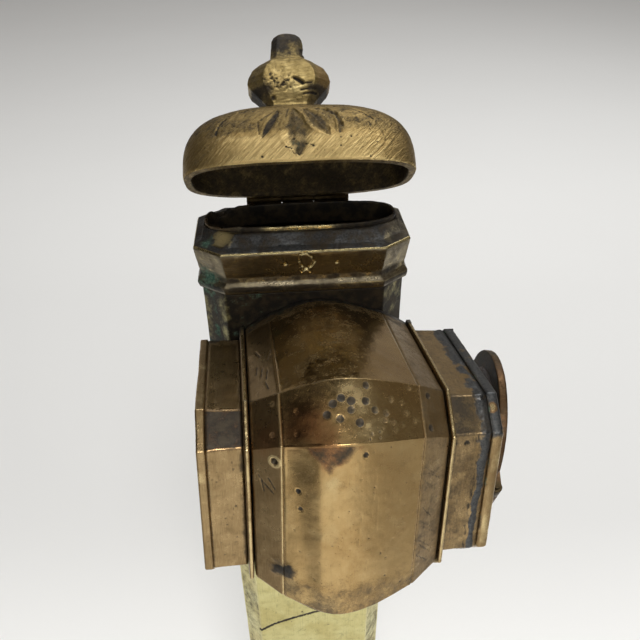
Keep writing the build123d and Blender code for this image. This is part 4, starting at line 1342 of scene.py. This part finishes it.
# shoulder, a shallow cove up to the foot of the lip: half width, half depth, cut x, cut y, z
COLLAR_SHOULDER = [
    (18.85, 9.25, 4.8, 3.6, 0.0), (18.4, 8.75, 4.75, 3.5, 0.10), (17.75, 7.7, 4.7, 3.35, 0.27),
    (17.55, 7.1, 4.85, 3.3, 0.6), (17.4, 6.6, 5.1, 3.3, 1.0), (17.3, 6.0, 5.6, 3.35, 1.5),
    (17.28, 5.6, 6.0, 3.4, 1.75)]
# inside: z, half width, half depth, cut x, cut y
COLLAR_INSIDE = [
    (-1.6, 16.2, 5.4, 4.2, 3.4), (-3.0, 16.8, 6.6, 4.0, 3.9), (-4.5, 17.4, 7.8, 3.85, 4.45),
    (-6.4, 17.4, 7.8, 3.85, 4.45), (-8.4, 17.4, 7.8, 3.85, 4.45)]
# engraved lozenge in the middle of the front, and its three tails: (x, z)
LOZENGE = [
    (-0.62, -0.55), (0.45, -0.30), (1.30, -1.15), (1.82, -2.25), (1.15, -3.15), (0.35, -3.75),
    (-0.35, -3.0), (-0.75, -2.0), (-0.62, -0.55)]
LOZENGE_TAILS = [((0.35, -3.5), (-0.45, -4.3)), ((0.35, -3.5), (1.05, -4.35)),
                 ((0.30, -0.45), (-0.35, -0.05))]
# tool marks scraped in the shoulder's solder: start, end
SHOULDER_SCRAPES = [
    ((-5.6, -6.9, 0.7), (-5.2, -6.0, 1.3)), ((-5.0, -7.1, 0.5), (-1.2, -7.1, 0.5)),
    ((-4.4, -7.4, 0.4), (-0.6, -7.4, 0.4)), ((-3.8, -6.7, 0.8), (-0.9, -6.7, 0.8))]


def collar_grid():
    """Points, and the part each row belongs to"""
    rings, heights, parts = [], [], []

    def add(ring, z, part):
        rings.append(ring)
        heights.append(z)
        parts.append(part)

    for z, drop in resample(COLLAR_PROFILE, 0.16, soft=0.12):
        add(facet_ring(COLLAR_W - drop, COLLAR_D - drop, COLLAR_CUT_X, COLLAR_CUT_Y, 0.4,
                       COLLAR_FLATS), z, FACE)
    for *size, z in resample(COLLAR_SHOULDER, 0.15)[1:]:
        add(facet_ring(*size, 0.5, COLLAR_FLATS), z, SHOULDER)
    hole = onto_superellipse(facet_ring(17.3, 5.6, 6.0, 3.4, 0.4, COLLAR_FLATS),
                             LIP_W + 0.02, LIP_D + 0.02)
    for z in (1.72, 1.2, 0.4, -0.6, -1.58):
        add(hole, z, HOLE)
    for z, *size in COLLAR_INSIDE:
        add(facet_ring(*size, 0.4, COLLAR_FLATS), z, INSIDE)
    return stack(rings, heights), np.array(parts)


def age_collar_face(skin, face, broad, fine):
    x, z = skin.x, skin.z
    skin.wear = unit(skin.corner * (0.4 + 0.6 * broad)) * face * 0.8
    # bright top arris, rubbed and painted as a highlight, and a painted highlight line along the
    # bead near the foot, brighter to the right
    skin.cover(wear=face * bell(z + 0.12, 0.24) * (0.85 + 0.5 * broad))
    skin.cover(wear=face * bell(z + 6.85, 0.20) * unit(0.02 + 0.8 * smooth(3, 8, x) + 0.9 * broad))
    skin.dirt = face * unit(0.05 + 0.35 * broad)
    skin.cover(dirt=face * bell(z + 5.5, 0.7) * (0.55 + 0.6 * fine))
    skin.cover(dirt=face * smooth(-7.7, -8.3, z) * 0.8)
    # painted shade over the bead, darker to the left, leaving only its highlight line
    skin.cover(dirt=face * np.exp(-((z + 7.2) / 0.60) ** 4) * (0.60 + 0.25 * smooth(7, 1, x))
               * (0.95 + 0.5 * broad))
    skin.verd = face * unit(
        0.9 * falloff(skin.distance((-16.6, -6.7, -6.0)) + 1.2 * broad, 5.5)
        + 0.25 * fine * smooth(-3, -8, z) * smooth(6, -16, x))
    skin.cover(verd=face * 0.35 * unit(broad + 0.2) * (np.abs(x) > 14) * smooth(-2.5, -5, z))
    skin.add(dirt=face * (np.abs(x) > 14.0) * 0.22 * (0.6 + broad))


def age_shoulder(skin, shoulder, broad, fine):
    """Grey solder skin with an ochre and a green patch on the left"""
    x, z = skin.x, skin.z
    right = np.abs(x - 16.5)
    ochre_distance = skin.distance((-13.8, -5.4, 1.1))
    ochre = falloff(ochre_distance + 1.0 * fine, 3.4)
    skin.sold = shoulder * unit(0.95 + 0.3 * broad - 1.3 * falloff(right + 1.5 * broad, 3.4)
                                - 1.2 * ochre)
    darkening = (unit(0.58 + 0.30 * broad - 0.28 * falloff(np.abs(x + 3.0), 4.0))
             * (1 + 0.10 * falloff(right, 3.4)) * (1 - ochre))
    green = unit(0.95 * falloff(skin.distance((-16.4, -5.6, 0.5)) + 0.8 * fine, 2.8))
    skin.dirt = np.where(shoulder, darkening, skin.dirt)
    skin.verd = np.where(shoulder, green, skin.verd)
    skin.add(tone=-0.9 * shoulder * falloff(ochre_distance, 3.4))
    skin.shift += (shoulder * (0.09 * skin.noise(0.30, 306, 3) + 0.02 * skin.noise(1.6, 307, 2))
                   * window(z, 0.0, 0.25, 1.45, 1.75))
    for start, end in SHOULDER_SCRAPES:
        offset = segment_offset(skin.points, start, end)
        d = np.where(shoulder, np.linalg.norm(offset, axis=-1), FAR)
        skin.shift -= 0.10 * smooth(0.2, 0.05, d)
        skin.cover(wear=0.7 * bell(d - 0.22, 0.10))


def mark_collar(skin, face):
    x, y, z = skin.x, skin.y, skin.z
    fronting = y < -8.0
    for start, end in [*zip(LOZENGE[:-1], LOZENGE[1:]), *LOZENGE_TAILS]:
        d = skin.drawn(face & fronting, start, end)
        skin.shift -= 0.15 * smooth(0.26, 0.06, d)
        skin.cover(dirt=0.35 * smooth(0.14, 0.03, d), wear=0.95 * bell(d - 0.20, 0.12))
    # two punched dots
    for place in ((-3.22, -2.46), (5.67, -2.56)):
        d = skin.drawn(face & fronting, place)
        skin.shift -= 0.16 * smooth(0.42, 0.12, d)
        skin.cover(wear=smooth(0.50, 0.25, d))
    # bruises in the top arris
    rng = np.random.RandomState(41)
    for _ in range(26):
        place_x = rng.uniform(-18, 18)
        d = np.where(fronting | (np.abs(x) > 14), np.hypot(x - place_x, (z + 0.05) * 1.3), FAR)
        skin.shift -= rng.uniform(0.02, 0.09) * falloff(d, rng.uniform(0.3, 0.8))
    # file marks at the two ends
    ends = face & (np.abs(x) > 14.0)
    spread = np.stack([(z * 0.55 + x * 0.9 + y * 0.9) * 3.2, z * 0.5, x * 0.2], -1)
    strokes = value_noise(spread, 1.0, 309)
    skin.shift += 0.03 * strokes * ends
    skin.cover(wear=0.45 * unit(strokes) * ends)


def make_collar():
    points, parts = collar_grid()
    skin = Skin(points, closed=True, flats=COLLAR_FLATS)
    part = np.broadcast_to(parts[:, None], points.shape[:2])
    face = part == FACE
    broad, fine = skin.noise(0.3, 301), skin.noise(1.0, 302)
    skin.shift = (0.07 * skin.noise(0.15, 304, 3) + 0.035 * skin.noise(0.7, 305, 3)
                  + 0.010 * skin.noise(2.6, 303, 3))
    age_collar_face(skin, face, broad, fine)
    age_shoulder(skin, part == SHOULDER, broad, fine)
    # grime and painted shade: the hole and the inside evenly dark
    skin.dirt = np.where(part >= HOLE, 0.85, skin.dirt)
    mark_collar(skin, face)
    skin.shift = skin.shift * np.where(face, smooth(-8.4, -8.1, skin.z), 1.0) * (part < HOLE)
    skin.shift = np.clip(skin.shift, -0.35, np.where(skin.z > -0.6, 0.0, 0.12))
    skin.verd = 0.8 * skin.verd
    build("mouth_collar_cast", skin.grid(), MOUTH_FRAME, closed=True,
          coats=skin.coats("wear", "dirt", "verd", "tone", "sold", clip=("wear", "dirt")),
          node="mouth_collar", material=COLLAR_BRASS, slot="collar_brass")


def make_lip():
    count = 560
    outer = super_ring(LIP_W, LIP_D, count)
    inner = super_ring(LIP_W - LIP_WALL, LIP_D - LIP_WALL, count)
    x, y = outer.T
    flat = at_height(outer, 0.0)
    ragged, fine_rag = fractal(flat, 0.45, 401), fractal(flat, 1.6, 402, 3)
    top = 2.50 - 0.10 * (ragged + 0.3) - 0.10 * unit(fine_rag)
    # broken notch and dip at the back left, worn-down corner at the front left
    top -= 1.5 * smooth(2.0, 0.9, np.hypot(x + 15.0, y - 4.1) + 0.35 * fine_rag)
    top -= 0.5 * falloff(np.hypot(x + 12.6, y - 4.8), 1.6)
    top -= 0.55 * falloff(np.hypot(x + 15.6, y + 3.4), 4.6) * (0.8 + 0.8 * ragged)
    height = top - LIP_FOOT
    rows = [at_height(outer, LIP_FOOT + height * q) for q in np.linspace(0, 1, 26)]
    rows += [at_height(outer * (1 - w) + inner * w, top + 0.08 * math.sin(math.pi * w))
             for w in (0.2, 0.5, 0.8)]
    rows += [at_height(inner, LIP_FOOT + height * q) for q in np.linspace(1, 0, 18)]
    part = np.repeat([0, 1, 2], [26, 3, 18])[:, None]  # outside, edge, inside
    skin = Skin(np.stack(rows), closed=True)
    front = skin.y < 0
    broad, fine = skin.noise(0.4, 403), skin.noise(1.4, 404, 3)
    skin.shift = (0.05 * skin.noise(0.3, 405, 3) + 0.03 * fine) * smooth(1.7, 2.3, skin.z)
    skin.shift = np.clip(skin.shift, -0.08, 0.02)
    # painted highlight: bright length along the middle of the front edge
    painted_highlight = np.exp(-((skin.x + 0.7) / 7.2) ** 6) * front
    skin.wear = (np.where(part == 1, 0.05 + 0.3 * broad + 0.65 * painted_highlight, 0)
                 + np.where(part == 0, smooth(1.55, 1.95, skin.z) * painted_highlight * (0.9 + 0.5 * broad),
                            0))
    left = smooth(-9, -14, x)
    # dark lip, with grime and painted shade inside the mouth, cleared under the painted highlight
    skin.dirt = np.where(part == 2, 0.95, 0.92 + 0.3 * broad) * (1 - 0.75 * unit(skin.wear))
    skin.dirt = np.where((part < 2) & front, skin.dirt * (1 - 0.75 * left), skin.dirt)
    skin.tone = (part < 2) * 0.5 * left * front
    skin.verd = unit(0.5 * fine * smooth(0, -14, skin.x)) * (part < 2)
    skin.sold = (part == 0) * 0.4 * (skin.z < 2)
    build("mouth_lip_torn", skin.grid(), MOUTH_FRAME, closed=True,
          coats=skin.coats("wear", "dirt", "tone", "verd", "sold", clip=("wear", "dirt")),
          node="mouth_lip", material=COLLAR_BRASS, slot="collar_brass")


# ================================================================ pen tube and its tail
TUBE_FLATS = [12, 6, 12, 46, 12, 6, 12, 76]
# dashed diagonal scratch on the front face, below the ink pot: (x, z)
TUBE_SCRATCH = [
    (-14.4, 116.6), (-12.6, 117.9), (-10.4, 119.4), (-8.2, 120.3), (-6.3, 121.1),
    (-4.0, 121.9), (-1.8, 122.6), (0.6, 123.4), (3.4, 124.4), (6.0, 125.1)]
# band round the tail: z, how far it stands out from the tube
TAIL_BAND = [
    (1.7, 0.45), (1.85, 0.72), (2.3, 0.85), (3.2, 0.85), (3.6, 0.62), (3.9, 0.5), (5.2, 0.5),
    (5.45, 0.62), (5.7, 0.8), (6.1, 0.8), (6.4, 0.62), (6.6, 0.35)]


def tube_size(z, grow=0.0):
    """Half width, half depth and cuts of the tapering tube, grown outwards"""
    k = (z - TAIL_Z) / (TUBE_END - TAIL_Z)
    return (TAIL_W + (TUBE_W - TAIL_W) * k + grow, TAIL_D + (TUBE_D - TAIL_D) * k + grow,
            TUBE_CUT_X + 0.4 * grow, TUBE_CUT_Y + 0.4 * grow)


def tube_ring(z, grow, fillet):
    return facet_ring(*tube_size(z, grow), fillet, TUBE_FLATS)


def mark_tube(skin, finest):
    front = skin.y < -8.0
    for start, end in zip(TUBE_SCRATCH[:-1], TUBE_SCRATCH[1:]):
        start, end = np.array(start), np.array(end)
        dash = skin.drawn(front, start, start + (end - start) * 0.80) + 0.25 * finest
        mark = smooth(0.62, 0.22, dash)
        skin.shift -= 0.14 * mark
        skin.cover(dirt=0.98 * mark)
    rng = np.random.RandomState(51)
    for _ in range(70):
        x, z = rng.uniform(-13, 13), rng.uniform(8, 190)
        angle = rng.normal(0, 0.35) + (math.pi / 2 if rng.rand() < 0.6 else 0.6)
        length = rng.uniform(2, 14)
        mask = front if rng.rand() < 0.65 else skin.y > 8.0
        end = (x + length * math.cos(angle), z + length * math.sin(angle))
        mark = smooth(0.24, 0.04, skin.drawn(mask, (x, z), end))
        skin.shift -= 0.04 * mark
        skin.cover(dirt=rng.uniform(0.15, 0.5) * mark)
    for _ in range(90):
        x, z = rng.uniform(-13.5, 13.5), rng.uniform(6, 188)
        radius = rng.uniform(0.15, 0.45)
        mark = smooth(radius, 0.3 * radius, skin.drawn(front, (x, z)))
        skin.shift -= 0.06 * mark
        skin.cover(dirt=rng.uniform(0.4, 0.95) * mark)


def make_tube():
    heights = np.concatenate([np.linspace(TAIL_Z, 96, 64)[:-1], np.linspace(96, 190, 260)[:-1],
                              np.linspace(190, TUBE_END, 96)])
    skin = Skin(stack([tube_ring(z, 0.0, 0.45) for z in heights], heights), flats=TUBE_FLATS)
    inner_heights = np.linspace(TAIL_Z, TUBE_END, 20)
    inner = stack([facet_ring(*np.subtract(tube_size(z), (1, 1, 0.35, 0.45)), 0.3, TUBE_FLATS)
                   for z in inner_heights], inner_heights)
    x, y, z = skin.x, skin.y, skin.z
    broad, fine, finest = skin.noise(0.12, 501), skin.noise(0.6, 502), skin.noise(2.0, 503, 3)
    skin.shift = (0.16 * skin.noise(0.045, 504, 3) + 0.05 * skin.noise(0.25, 505, 3)
                  + 0.012 * finest)
    skin.wear = unit(skin.corner * (0.4 + 0.6 * fine))
    edges = np.isin(skin.side, (0.0, 1.0, 2.0, 4.0, 5.0, 6.0))  # all flats but front and back
    skin.dirt = np.where(edges, 0.38 + 0.26 * broad, 0.02 + 0.25 * broad + 0.2 * fine)
    # grime under the collar and round the pot
    near_top = smooth(186, 210, z + 4 * broad)
    on_front = (y < -7) * smooth(14.5, 13.0, np.abs(x))
    skin.cover(dirt=near_top * np.clip(0.74 + 0.45 * fine + 0.35 * on_front, 0, 1.2))
    skin.cover(dirt=smooth(222.2, 223.4, z) * 0.8)
    by_pot = smooth(34, 20, np.abs(z - POT_CENTRE[2]))
    skin.cover(dirt=by_pot * (y < -5) * (0.35 + 0.5 * fine))
    skin.verd = unit(0.75 * near_top * unit(fine + 0.25) * smooth(10, -12, x)
                     + 0.3 * unit(fine - 0.1) * edges)
    mark_tube(skin, finest)
    # lengthwise seam down the back
    seam = np.where(y > 7.5, np.abs(x - 1.2 - 0.15 * broad), FAR)
    skin.shift -= 0.10 * smooth(0.3, 0.05, seam)
    skin.cover(dirt=0.75 * smooth(0.5, 0.1, seam))
    skin.shift = skin.shift * smooth(0, 1.2, TUBE_END - z) * smooth(0, 8.0, z - TAIL_Z)
    skin.shift = np.clip(skin.shift, -0.3, 0.15)
    skin.dirt = unit(skin.dirt)
    build_sheet("pen_tube_sheet", skin, inner, WORLD, 0.7, node="pen_tube", material=TUBE_BRASS,
                slot="tube_brass")


def make_tail_band():
    rows = resample(TAIL_BAND, 0.12, soft=0.12)
    bottom, top = TAIL_BAND[0][0], TAIL_BAND[-1][0]
    skin = Skin(stack([tube_ring(z, grow, 0.4) for z, grow in rows], rows[:, 0]))
    inner = stack([tube_ring(z, 0.01, 0.45) for z in (bottom, top)], (bottom, top))
    z, broad = skin.z, skin.noise(0.3, 520)
    skin.shift = (0.05 * skin.noise(0.3, 521, 3) * smooth(0, 0.4, z - bottom)
                  * smooth(0, 0.4, top - z))
    skin.shift = np.clip(skin.shift, -0.1, 0.05)
    skin.wear = unit(bell(z - 2.75, 0.5) + bell(z - 5.9, 0.25)) * (0.5 + 0.6 * broad)
    skin.dirt = unit(0.3 + 0.5 * broad + bell(z - 4.5, 0.5) * 0.4)
    build_sheet("tail_band_moulding", skin, inner, WORLD, 0.6, node="tail_band",
                material=COLLAR_BRASS, slot="collar_brass")


def make_tail_plate():
    # z, growth over the tube's tail, scale
    rows = [(0.0, -0.42, q) for q in np.linspace(0.03, 1, 16)]
    rows += [(0.12, -0.22, 1), (0.3, -0.10, 1), (0.5, 0.0, 1), (1.1, 0.0, 1), (TAIL_Z, 0.0, 1)]
    rows += [(TAIL_Z, 0.0, q) for q in np.linspace(0.9, 0.05, 8)]
    grid = stack([tube_ring(TAIL_Z, grow, 0.4) * scale for _, grow, scale in rows],
                 [row[0] for row in rows])
    broad = fractal(grid, 0.25, 530)
    rim = np.array([1.0 if 15 <= k <= 18 else 0.0 for k in range(len(rows))])[:, None]
    build("tail_plate_sheet", grid, WORLD, ends=True,
          coats={"wear": rim * (0.6 + 0.6 * broad), "dirt": unit(0.3 + 0.7 * broad)},
          node="tail_plate", material=TUBE_BRASS, slot="tube_brass")


# ================================================================ ink lid, wad, solder
LID_POINTS = 260
LID_GROOVES = (11.6, 10.9, 5.2)  # radii of the rings turned in the outer face


def make_lid_disc():
    spokes = circle(LID_POINTS)
    circle_points = at_height(spokes * LID_R, 0.0)
    radius = (LID_R - 0.08 + 0.07 * fractal(circle_points, 0.35, 601, 3)
              - 0.05 * unit(fractal(circle_points, 1.5, 602, 2)))
    # straight cut beside the hinge
    c, s = spokes.T
    limit = np.where((c < 0) & (np.abs(radius * s) < 4.7), 12.02 / np.maximum(-c, 1e-6), FAR)
    radius = np.minimum(radius, limit)
    # scale, height: inner face, edge, outer face
    under = [(q, LID_SEAT) for q in np.linspace(0.04, 0.985, 34)]
    edge = [(q, LID_SEAT + z) for q, z in (
        (0.995, 0.05), (1.0, 0.16), (1.0, 0.5), (1.0, 0.9), (1.0, 1.2), (0.995, 1.33),
        (0.985, LID_T))]
    over = [(q, LID_SEAT + LID_T) for q in np.linspace(0.97, 0.04, 60)]
    part = np.repeat([0, 1, 2], [len(under), len(edge), len(over)])[:, None]
    skin = Skin(swept(spokes * radius[:, None], under + edge + over))
    broad, fine = skin.noise(0.25, 603), skin.noise(0.9, 604)
    out = np.hypot(skin.x, skin.y)
    shift = (0.06 * skin.noise(0.15, 606, 3) + 0.03 * skin.noise(0.8, 607, 3)
             + 0.012 * skin.noise(2.5, 605, 3))
    shift = np.where(part == 1, shift * 0.6, shift * smooth(0, 1.0, 13.0 - out))
    # turned rings, stopped short of the strap
    outside = part == 2
    strap = (skin.x < -4.0) & (np.abs(skin.y) < 2.6)
    skin.dirt = 0.30 + 0.5 * broad + 0.25 * fine
    for groove in LID_GROOVES:
        shift -= 0.10 * bell(out - groove, 0.16) * outside * (~strap)
        skin.cover(dirt=0.8 * bell(out - groove, 0.2) * outside)
    shift = np.where(outside, np.minimum(shift, 0.0), shift)
    skin.shift = np.where(strap & outside, -0.03, shift)
    skin.dirt = np.where(part == 0, 0.92, skin.dirt)
    skin.wear = (np.where(part == 1, 0.35 + 0.6 * broad, 0)
                 + np.where(outside, 0.35 * unit(broad + 0.1), 0))
    skin.tone = 0.5 * broad + 0.15
    skin.verd = unit(0.5 * fine) * outside
    build("ink_lid_disc_cut", skin.grid(), LID_FRAME, ends=True, reverse=True, body="ink_lid",
          coats=skin.coats("dirt", "wear", "tone", "verd", clip=("dirt", "wear")),
          node="ink_lid_disc", material=LID_BRASS, slot="lid_brass")


def make_lid_pad():
    """Crowned leather washer inside the lid, dented by the neck ring"""
    spokes = circle(LID_POINTS)
    radius = 10.05 + 0.12 * fractal(at_height(spokes * LID_R, 0.0) * 0.75, 0.5, 611, 3)
    crown = 22
    profile = [(q, LID_SEAT - 0.07 - 0.30 * math.sqrt(max(0.0, 1 - q ** 6)))
               for q in np.linspace(0.04, 1, crown)]
    profile += [(q, LID_SEAT - 0.03) for q in np.linspace(0.98, 0.04, 14)]
    grid = swept(spokes * radius[:, None], profile)
    lumps = 0.045 * fractal(grid, 0.7, 612)
    dent = 0.10 * bell(np.hypot(grid[..., 0], grid[..., 1]) - 7.55, 0.5)
    grid[:crown, :, 2] += (lumps + dent)[:crown]
    grid[..., 2] = np.minimum(grid[..., 2], LID_SEAT - 0.02)
    build("ink_lid_pad_leather", grid, LID_FRAME, ends=True, body="ink_lid",
          node="ink_lid_pad", material=LEATHER, slot="ink_pad")


def make_wad():
    """Silk floss filling the pot's left half: a sagging, lumpy, fibrous plug"""
    profile = [(q * 10.6, -19.0) for q in np.linspace(0.05, 0.93, 10)]
    profile += [(np.interp(k, (0, 0.5, 1), (10.6, 12.2, 10.2)) - 0.9 * (abs(2 * k - 1) ** 8),
                 -19.0 + 9.8 * k) for k in np.linspace(0, 1, 40)]
    profile += [(q * 10.2, -9.2 - 0.35 * (1 - q ** 2)) for q in np.linspace(0.93, 0.04, 42)]
    skin = Skin(swept(circle(240), profile))
    x, y, z = skin.x, skin.y, skin.z
    lumps = skin.noise(0.22, 701)
    strands = np.abs(value_noise(
        np.stack([x * 1.1 + 0.8 * lumps * 3, y * 0.35, z * 0.9], -1), 1.6, 702))
    crossing = np.abs(value_noise(
        np.stack([x * 0.3, y * 1.2 + 2 * lumps, z * 0.9], -1), 1.7, 703))
    skin.shift = np.clip(-0.55 + 0.45 * lumps + 0.20 * strands + 0.18 * crossing, -1.4, -0.02)
    build("ink_wad_silk", skin.grid(), POT_FRAME, ends=True, cut_y=BACK_Y - 0.45,
          node="ink_wad", material=SILK, slot="silk")


def make_solder():
    """Ragged fillets of solder where the pot's back meets the edges of the tube's front"""
    heights = np.linspace(POT_CENTRE[2] - 12.4, POT_CENTRE[2] + 10.9, 110)
    step = np.arange(len(heights))
    taper = np.minimum(1.0, np.minimum(step + 1, len(heights) - step) / 6)
    c, s = circle(26).T
    for sign, name in ((-1, "left"), (1, "right")):
        line = np.stack([0 * heights + sign * 15.3, 0 * heights - 8.6, heights], -1)
        broad, fine = fractal(line, 0.35, 801 + sign, 3), fractal(line, 1.2, 803 + sign, 3)
        width = ((0.86 + 0.28 * broad + 0.14 * fine) * taper ** 0.5)[:, None]
        centre_x = sign * (TUBE_W - TUBE_CUT_X + 1.12)
        x = centre_x + (sign * 0.05 * fine)[:, None] + 0.92 * width * c
        y = np.maximum(-TUBE_D + 0.42 + 0.36 * width * s + 0.02, -TUBE_D + 0.04)
        skin = Skin(np.stack([x, y, heights[:, None] + 0 * x], -1))
        skin.shift = 0.07 * skin.noise(1.4, 812, 3)
        stain = skin.noise(0.8, 811)
        grid = skin.grid()
        grid[..., 1] = np.maximum(grid[..., 1], -TUBE_D + 0.03)
        build("pot_solder_" + name, grid, WORLD, ends=True,
              coats={"dirt": unit(0.45 + 0.7 * stain), "verd": unit(0.6 * stain),
                     "sold": np.full(stain.shape, 0.5)},
              node="pot_solder_seams", material=SOLDER, slot="solder")


# ================================================================ pieces kept from the CAD
# node, material, width of the eased edges in mm
KEPT_PIECES = [
    ("collar_hinge_leaf", HINGE_BRASS, 0.10), ("collar_leaf_rivets", HINGE_BRASS, 0.12),
    ("cap_hinge_pin", HINGE_BRASS, 0.12), ("cap_hinge_leaf", HINGE_BRASS, 0.10),
    ("cap_finial_tang", LID_BRASS, 0.12), ("pot_back_plate", SOLDER, 0.0),
    ("ink_lid_strap", LID_BRASS, 0.12), ("ink_lid_rivet", LID_BRASS, 0.12),
    ("ink_hinge_ears", HINGE_BRASS, 0.10), ("ink_hinge_pin", HINGE_BRASS, 0.10)]


def finish_kept_pieces():
    for name, material, width in KEPT_PIECES:
        piece = nodes[name]
        piece.data.materials.clear()
        piece.data.materials.append(material)
        weld = piece.modifiers.new("weld", "WELD")
        weld.merge_threshold = 0.000002
        if width:
            bevel = piece.modifiers.new("ease", "BEVEL")
            bevel.width = width * MM
            bevel.segments = 2
            bevel.limit_method = "ANGLE"
            bevel.angle_limit = math.radians(35)
            bevel.harden_normals = False


make_pot_sheets()
make_base_plate()
make_mouth_plate()
make_neck_ring()
make_cap()
make_finial()
make_collar()
make_lip()
make_tube()
make_tail_band()
make_tail_plate()
make_lid_disc()
make_lid_pad()
make_wad()
make_solder()
finish_kept_pieces()

# ================================================================ floor, light, camera
scene = bpy.context.scene


def add_to_scene(name, data):
    thing = bpy.data.objects.new(name, data)
    scene.collection.objects.link(thing)
    return thing


def matte(name, roughness, specular):
    """Plain material: itself, its Shade and its Principled inputs"""
    material = bpy.data.materials.new(name)
    material.use_nodes = True
    inputs = material.node_tree.nodes["Principled BSDF"].inputs
    inputs["Roughness"].default_value = roughness
    inputs["Specular IOR Level"].default_value = specular
    return material, Shade(material.node_tree), inputs


def make_floor():
    half = 6.0  # metres
    mesh = bpy.data.meshes.new("floor")
    mesh.from_pydata([(-half, -half, 0), (half, -half, 0), (half, half, 0), (-half, half, 0)],
                     [], [(0, 1, 2, 3)])
    floor = add_to_scene("floor", mesh)
    material, shade, inputs = matte("floor_paper", roughness=0.85, specular=0.15)
    paper = lin(238, 238, 236)
    shaded = tuple(c * 0.985 for c in paper[:3]) + (1,)
    clouds = shade.noise(shade.coords((MM, MM, MM)), 3.0)  # per metre
    shade.put(inputs["Base Color"], shade.mix(clouds.step(0.3, 0.7), shaded, paper))
    mesh.materials.append(material)


def make_world():
    """Pale low in front, dim behind and overhead, dark to either side, darker on the left"""
    world = bpy.data.worlds.new("studio")
    scene.world = world
    world.use_nodes = True
    world.node_tree.nodes.clear()
    shade = Shade(world.node_tree)
    output = shade.new("ShaderNodeOutputWorld")
    background = shade.new("ShaderNodeBackground")
    shade.put(output.inputs[0], background.outputs[0])
    x, y, z = shade.split(shade.texture["Generated"])
    horizon = shade.mix(y.step(-0.35, 0.45), lin(226, 226, 226), lin(142, 137, 131))
    sky = shade.mix(z.step(0.10, 0.80), horizon, lin(120, 118, 117))
    front_left = (x * -1.0).step(0.30, 0.72) * (y * -1.0).step(-0.62, -0.15)
    sky = shade.mix(front_left, sky, lin(62, 56, 50))
    sky = shade.mix(x.step(0.34, 0.80), sky, lin(104, 98, 90))
    shade.put(background.inputs["Color"], sky)
    background.inputs["Strength"].default_value = 1.15


def area_light(name, place, target, *, size, power, colour):
    """Square light; places and size in metres, power in watts"""
    light = bpy.data.lights.new(name, "AREA")
    light.shape = "RECTANGLE"
    light.size = light.size_y = size
    light.energy = power
    light.color = colour
    lamp = add_to_scene(name, light)
    lamp.location = place
    lamp.rotation_euler = (Vector(target) - Vector(place)).to_track_quat("-Z", "Y").to_euler()
    return lamp


def make_camera():
    """Camera above the front, and its eye (mm), back, right and up directions"""
    turn, rise, roll = math.radians(-4.15), math.radians(34.66), math.radians(-0.70)
    target, distance = Vector((3.27, 0, 211.1)), 131.79
    back = Vector((math.sin(turn) * math.cos(rise), -math.cos(turn) * math.cos(rise),
                   math.sin(rise)))
    level = Vector((math.cos(turn), math.sin(turn), 0))
    upright = Vector((-math.sin(turn) * math.sin(rise), math.cos(turn) * math.sin(rise),
                      math.cos(rise)))
    right = math.cos(roll) * level + math.sin(roll) * upright
    up = -math.sin(roll) * level + math.cos(roll) * upright
    eye = (target + back * distance) * MM
    lens = bpy.data.cameras.new("camera")
    lens.lens = 37.125
    lens.sensor_width = lens.sensor_height = 36.0
    lens.sensor_fit = "HORIZONTAL"
    lens.clip_start, lens.clip_end = 0.005, 50
    camera = add_to_scene("camera", lens)
    camera.matrix_world = Matrix([(*axes, e) for *axes, e in zip(right, up, back, eye)]
                                 + [(0, 0, 0, 1)])
    scene.camera = camera
    return eye / MM, back, right, up


def card(name, corners, shades, *, shadow=True):
    """Grey card seen only in reflections

    shades are two x places and the greys there.
    """
    start, end, start_grey, end_grey = shades
    mesh = bpy.data.meshes.new(name)
    mesh.from_pydata([tuple(c * MM for c in corner) for corner in corners], [],
                     [tuple(range(len(corners)))])
    piece = add_to_scene(name, mesh)
    material, shade, inputs = matte(name + "_card", roughness=0.9, specular=0.1)
    sign = -1.0 if end < start else 1.0
    x = shade.split(shade.coords())[0]
    shade.put(inputs["Base Color"], shade.mix(
        (x * sign).step(start * sign, end * sign),
        (start_grey, start_grey, start_grey * 0.98, 1),
        (end_grey, end_grey * 0.98, end_grey * 0.94, 1)))
    mesh.materials.append(material)
    piece.visible_camera = False
    piece.visible_diffuse = False
    piece.visible_shadow = shadow


# cards in a plane just behind the camera: (right, up) of the lens axis, then the shades
CAMERA_CARDS = [
    ("card_over_camera", ((-420, -6), (-130, 9), (58, 9), (58, 45), (-420, 45)),
     (-160, -40, 0.06, 0.66)),
    ("card_above_that", ((-420, 45), (58, 45), (58, 68), (-40, 68), (-160, 76), (-420, 150)),
     (-160, 58, 0.03, 0.06)),
    ("card_right_of_camera",
     ((58, 9), (125, 9), (380, 20), (380, 96), (150, 80), (100, 66), (58, 66)),
     (60, 200, 0.40, 0.26))]
# cards lying just above the floor in front of the case, darker away from the middle: painted shade
# for the darker floor the pot reflects to its left and right
FLOOR_CARDS = [
    ("card_floor_left", ((-620, -620, 3), (-50, -620, 3), (-50, -90, 3), (-620, -40, 3)),
     (-60, -300, 0.88, 0.16)),
    ("card_floor_right", ((25, -620, 3), (620, -620, 3), (620, -40, 3), (25, -90, 3)),
     (60, 230, 0.88, 0.40))]

make_floor()
make_world()
area_light("key", (0.06, -0.78, 1.06), (0, -0.02, 0.19), size=0.56, power=11.5,
           colour=(1, 0.985, 0.965))
area_light("top_fill", (0.35, 0.35, 1.25), (0.1, 0.1, 0.0), size=0.9, power=8.5,
           colour=(0.98, 0.99, 1.0))
far_floor = area_light("far_floor", (0.0, 1.9, 1.4), (0.0, 1.9, 0.0), size=2.0, power=4.5,
                       colour=(1, 1, 1))
far_floor.visible_glossy = False
eye, back, right, up = make_camera()
for name, corners, shades in CAMERA_CARDS:
    card(name, [tuple(eye + back * 6 + right * x + up * y) for x, y in corners], shades)
for name, corners, shades in FLOOR_CARDS:
    card(name, corners, shades, shadow=False)
scene.view_settings.view_transform = "Standard"

bpy.context.view_layer.update()
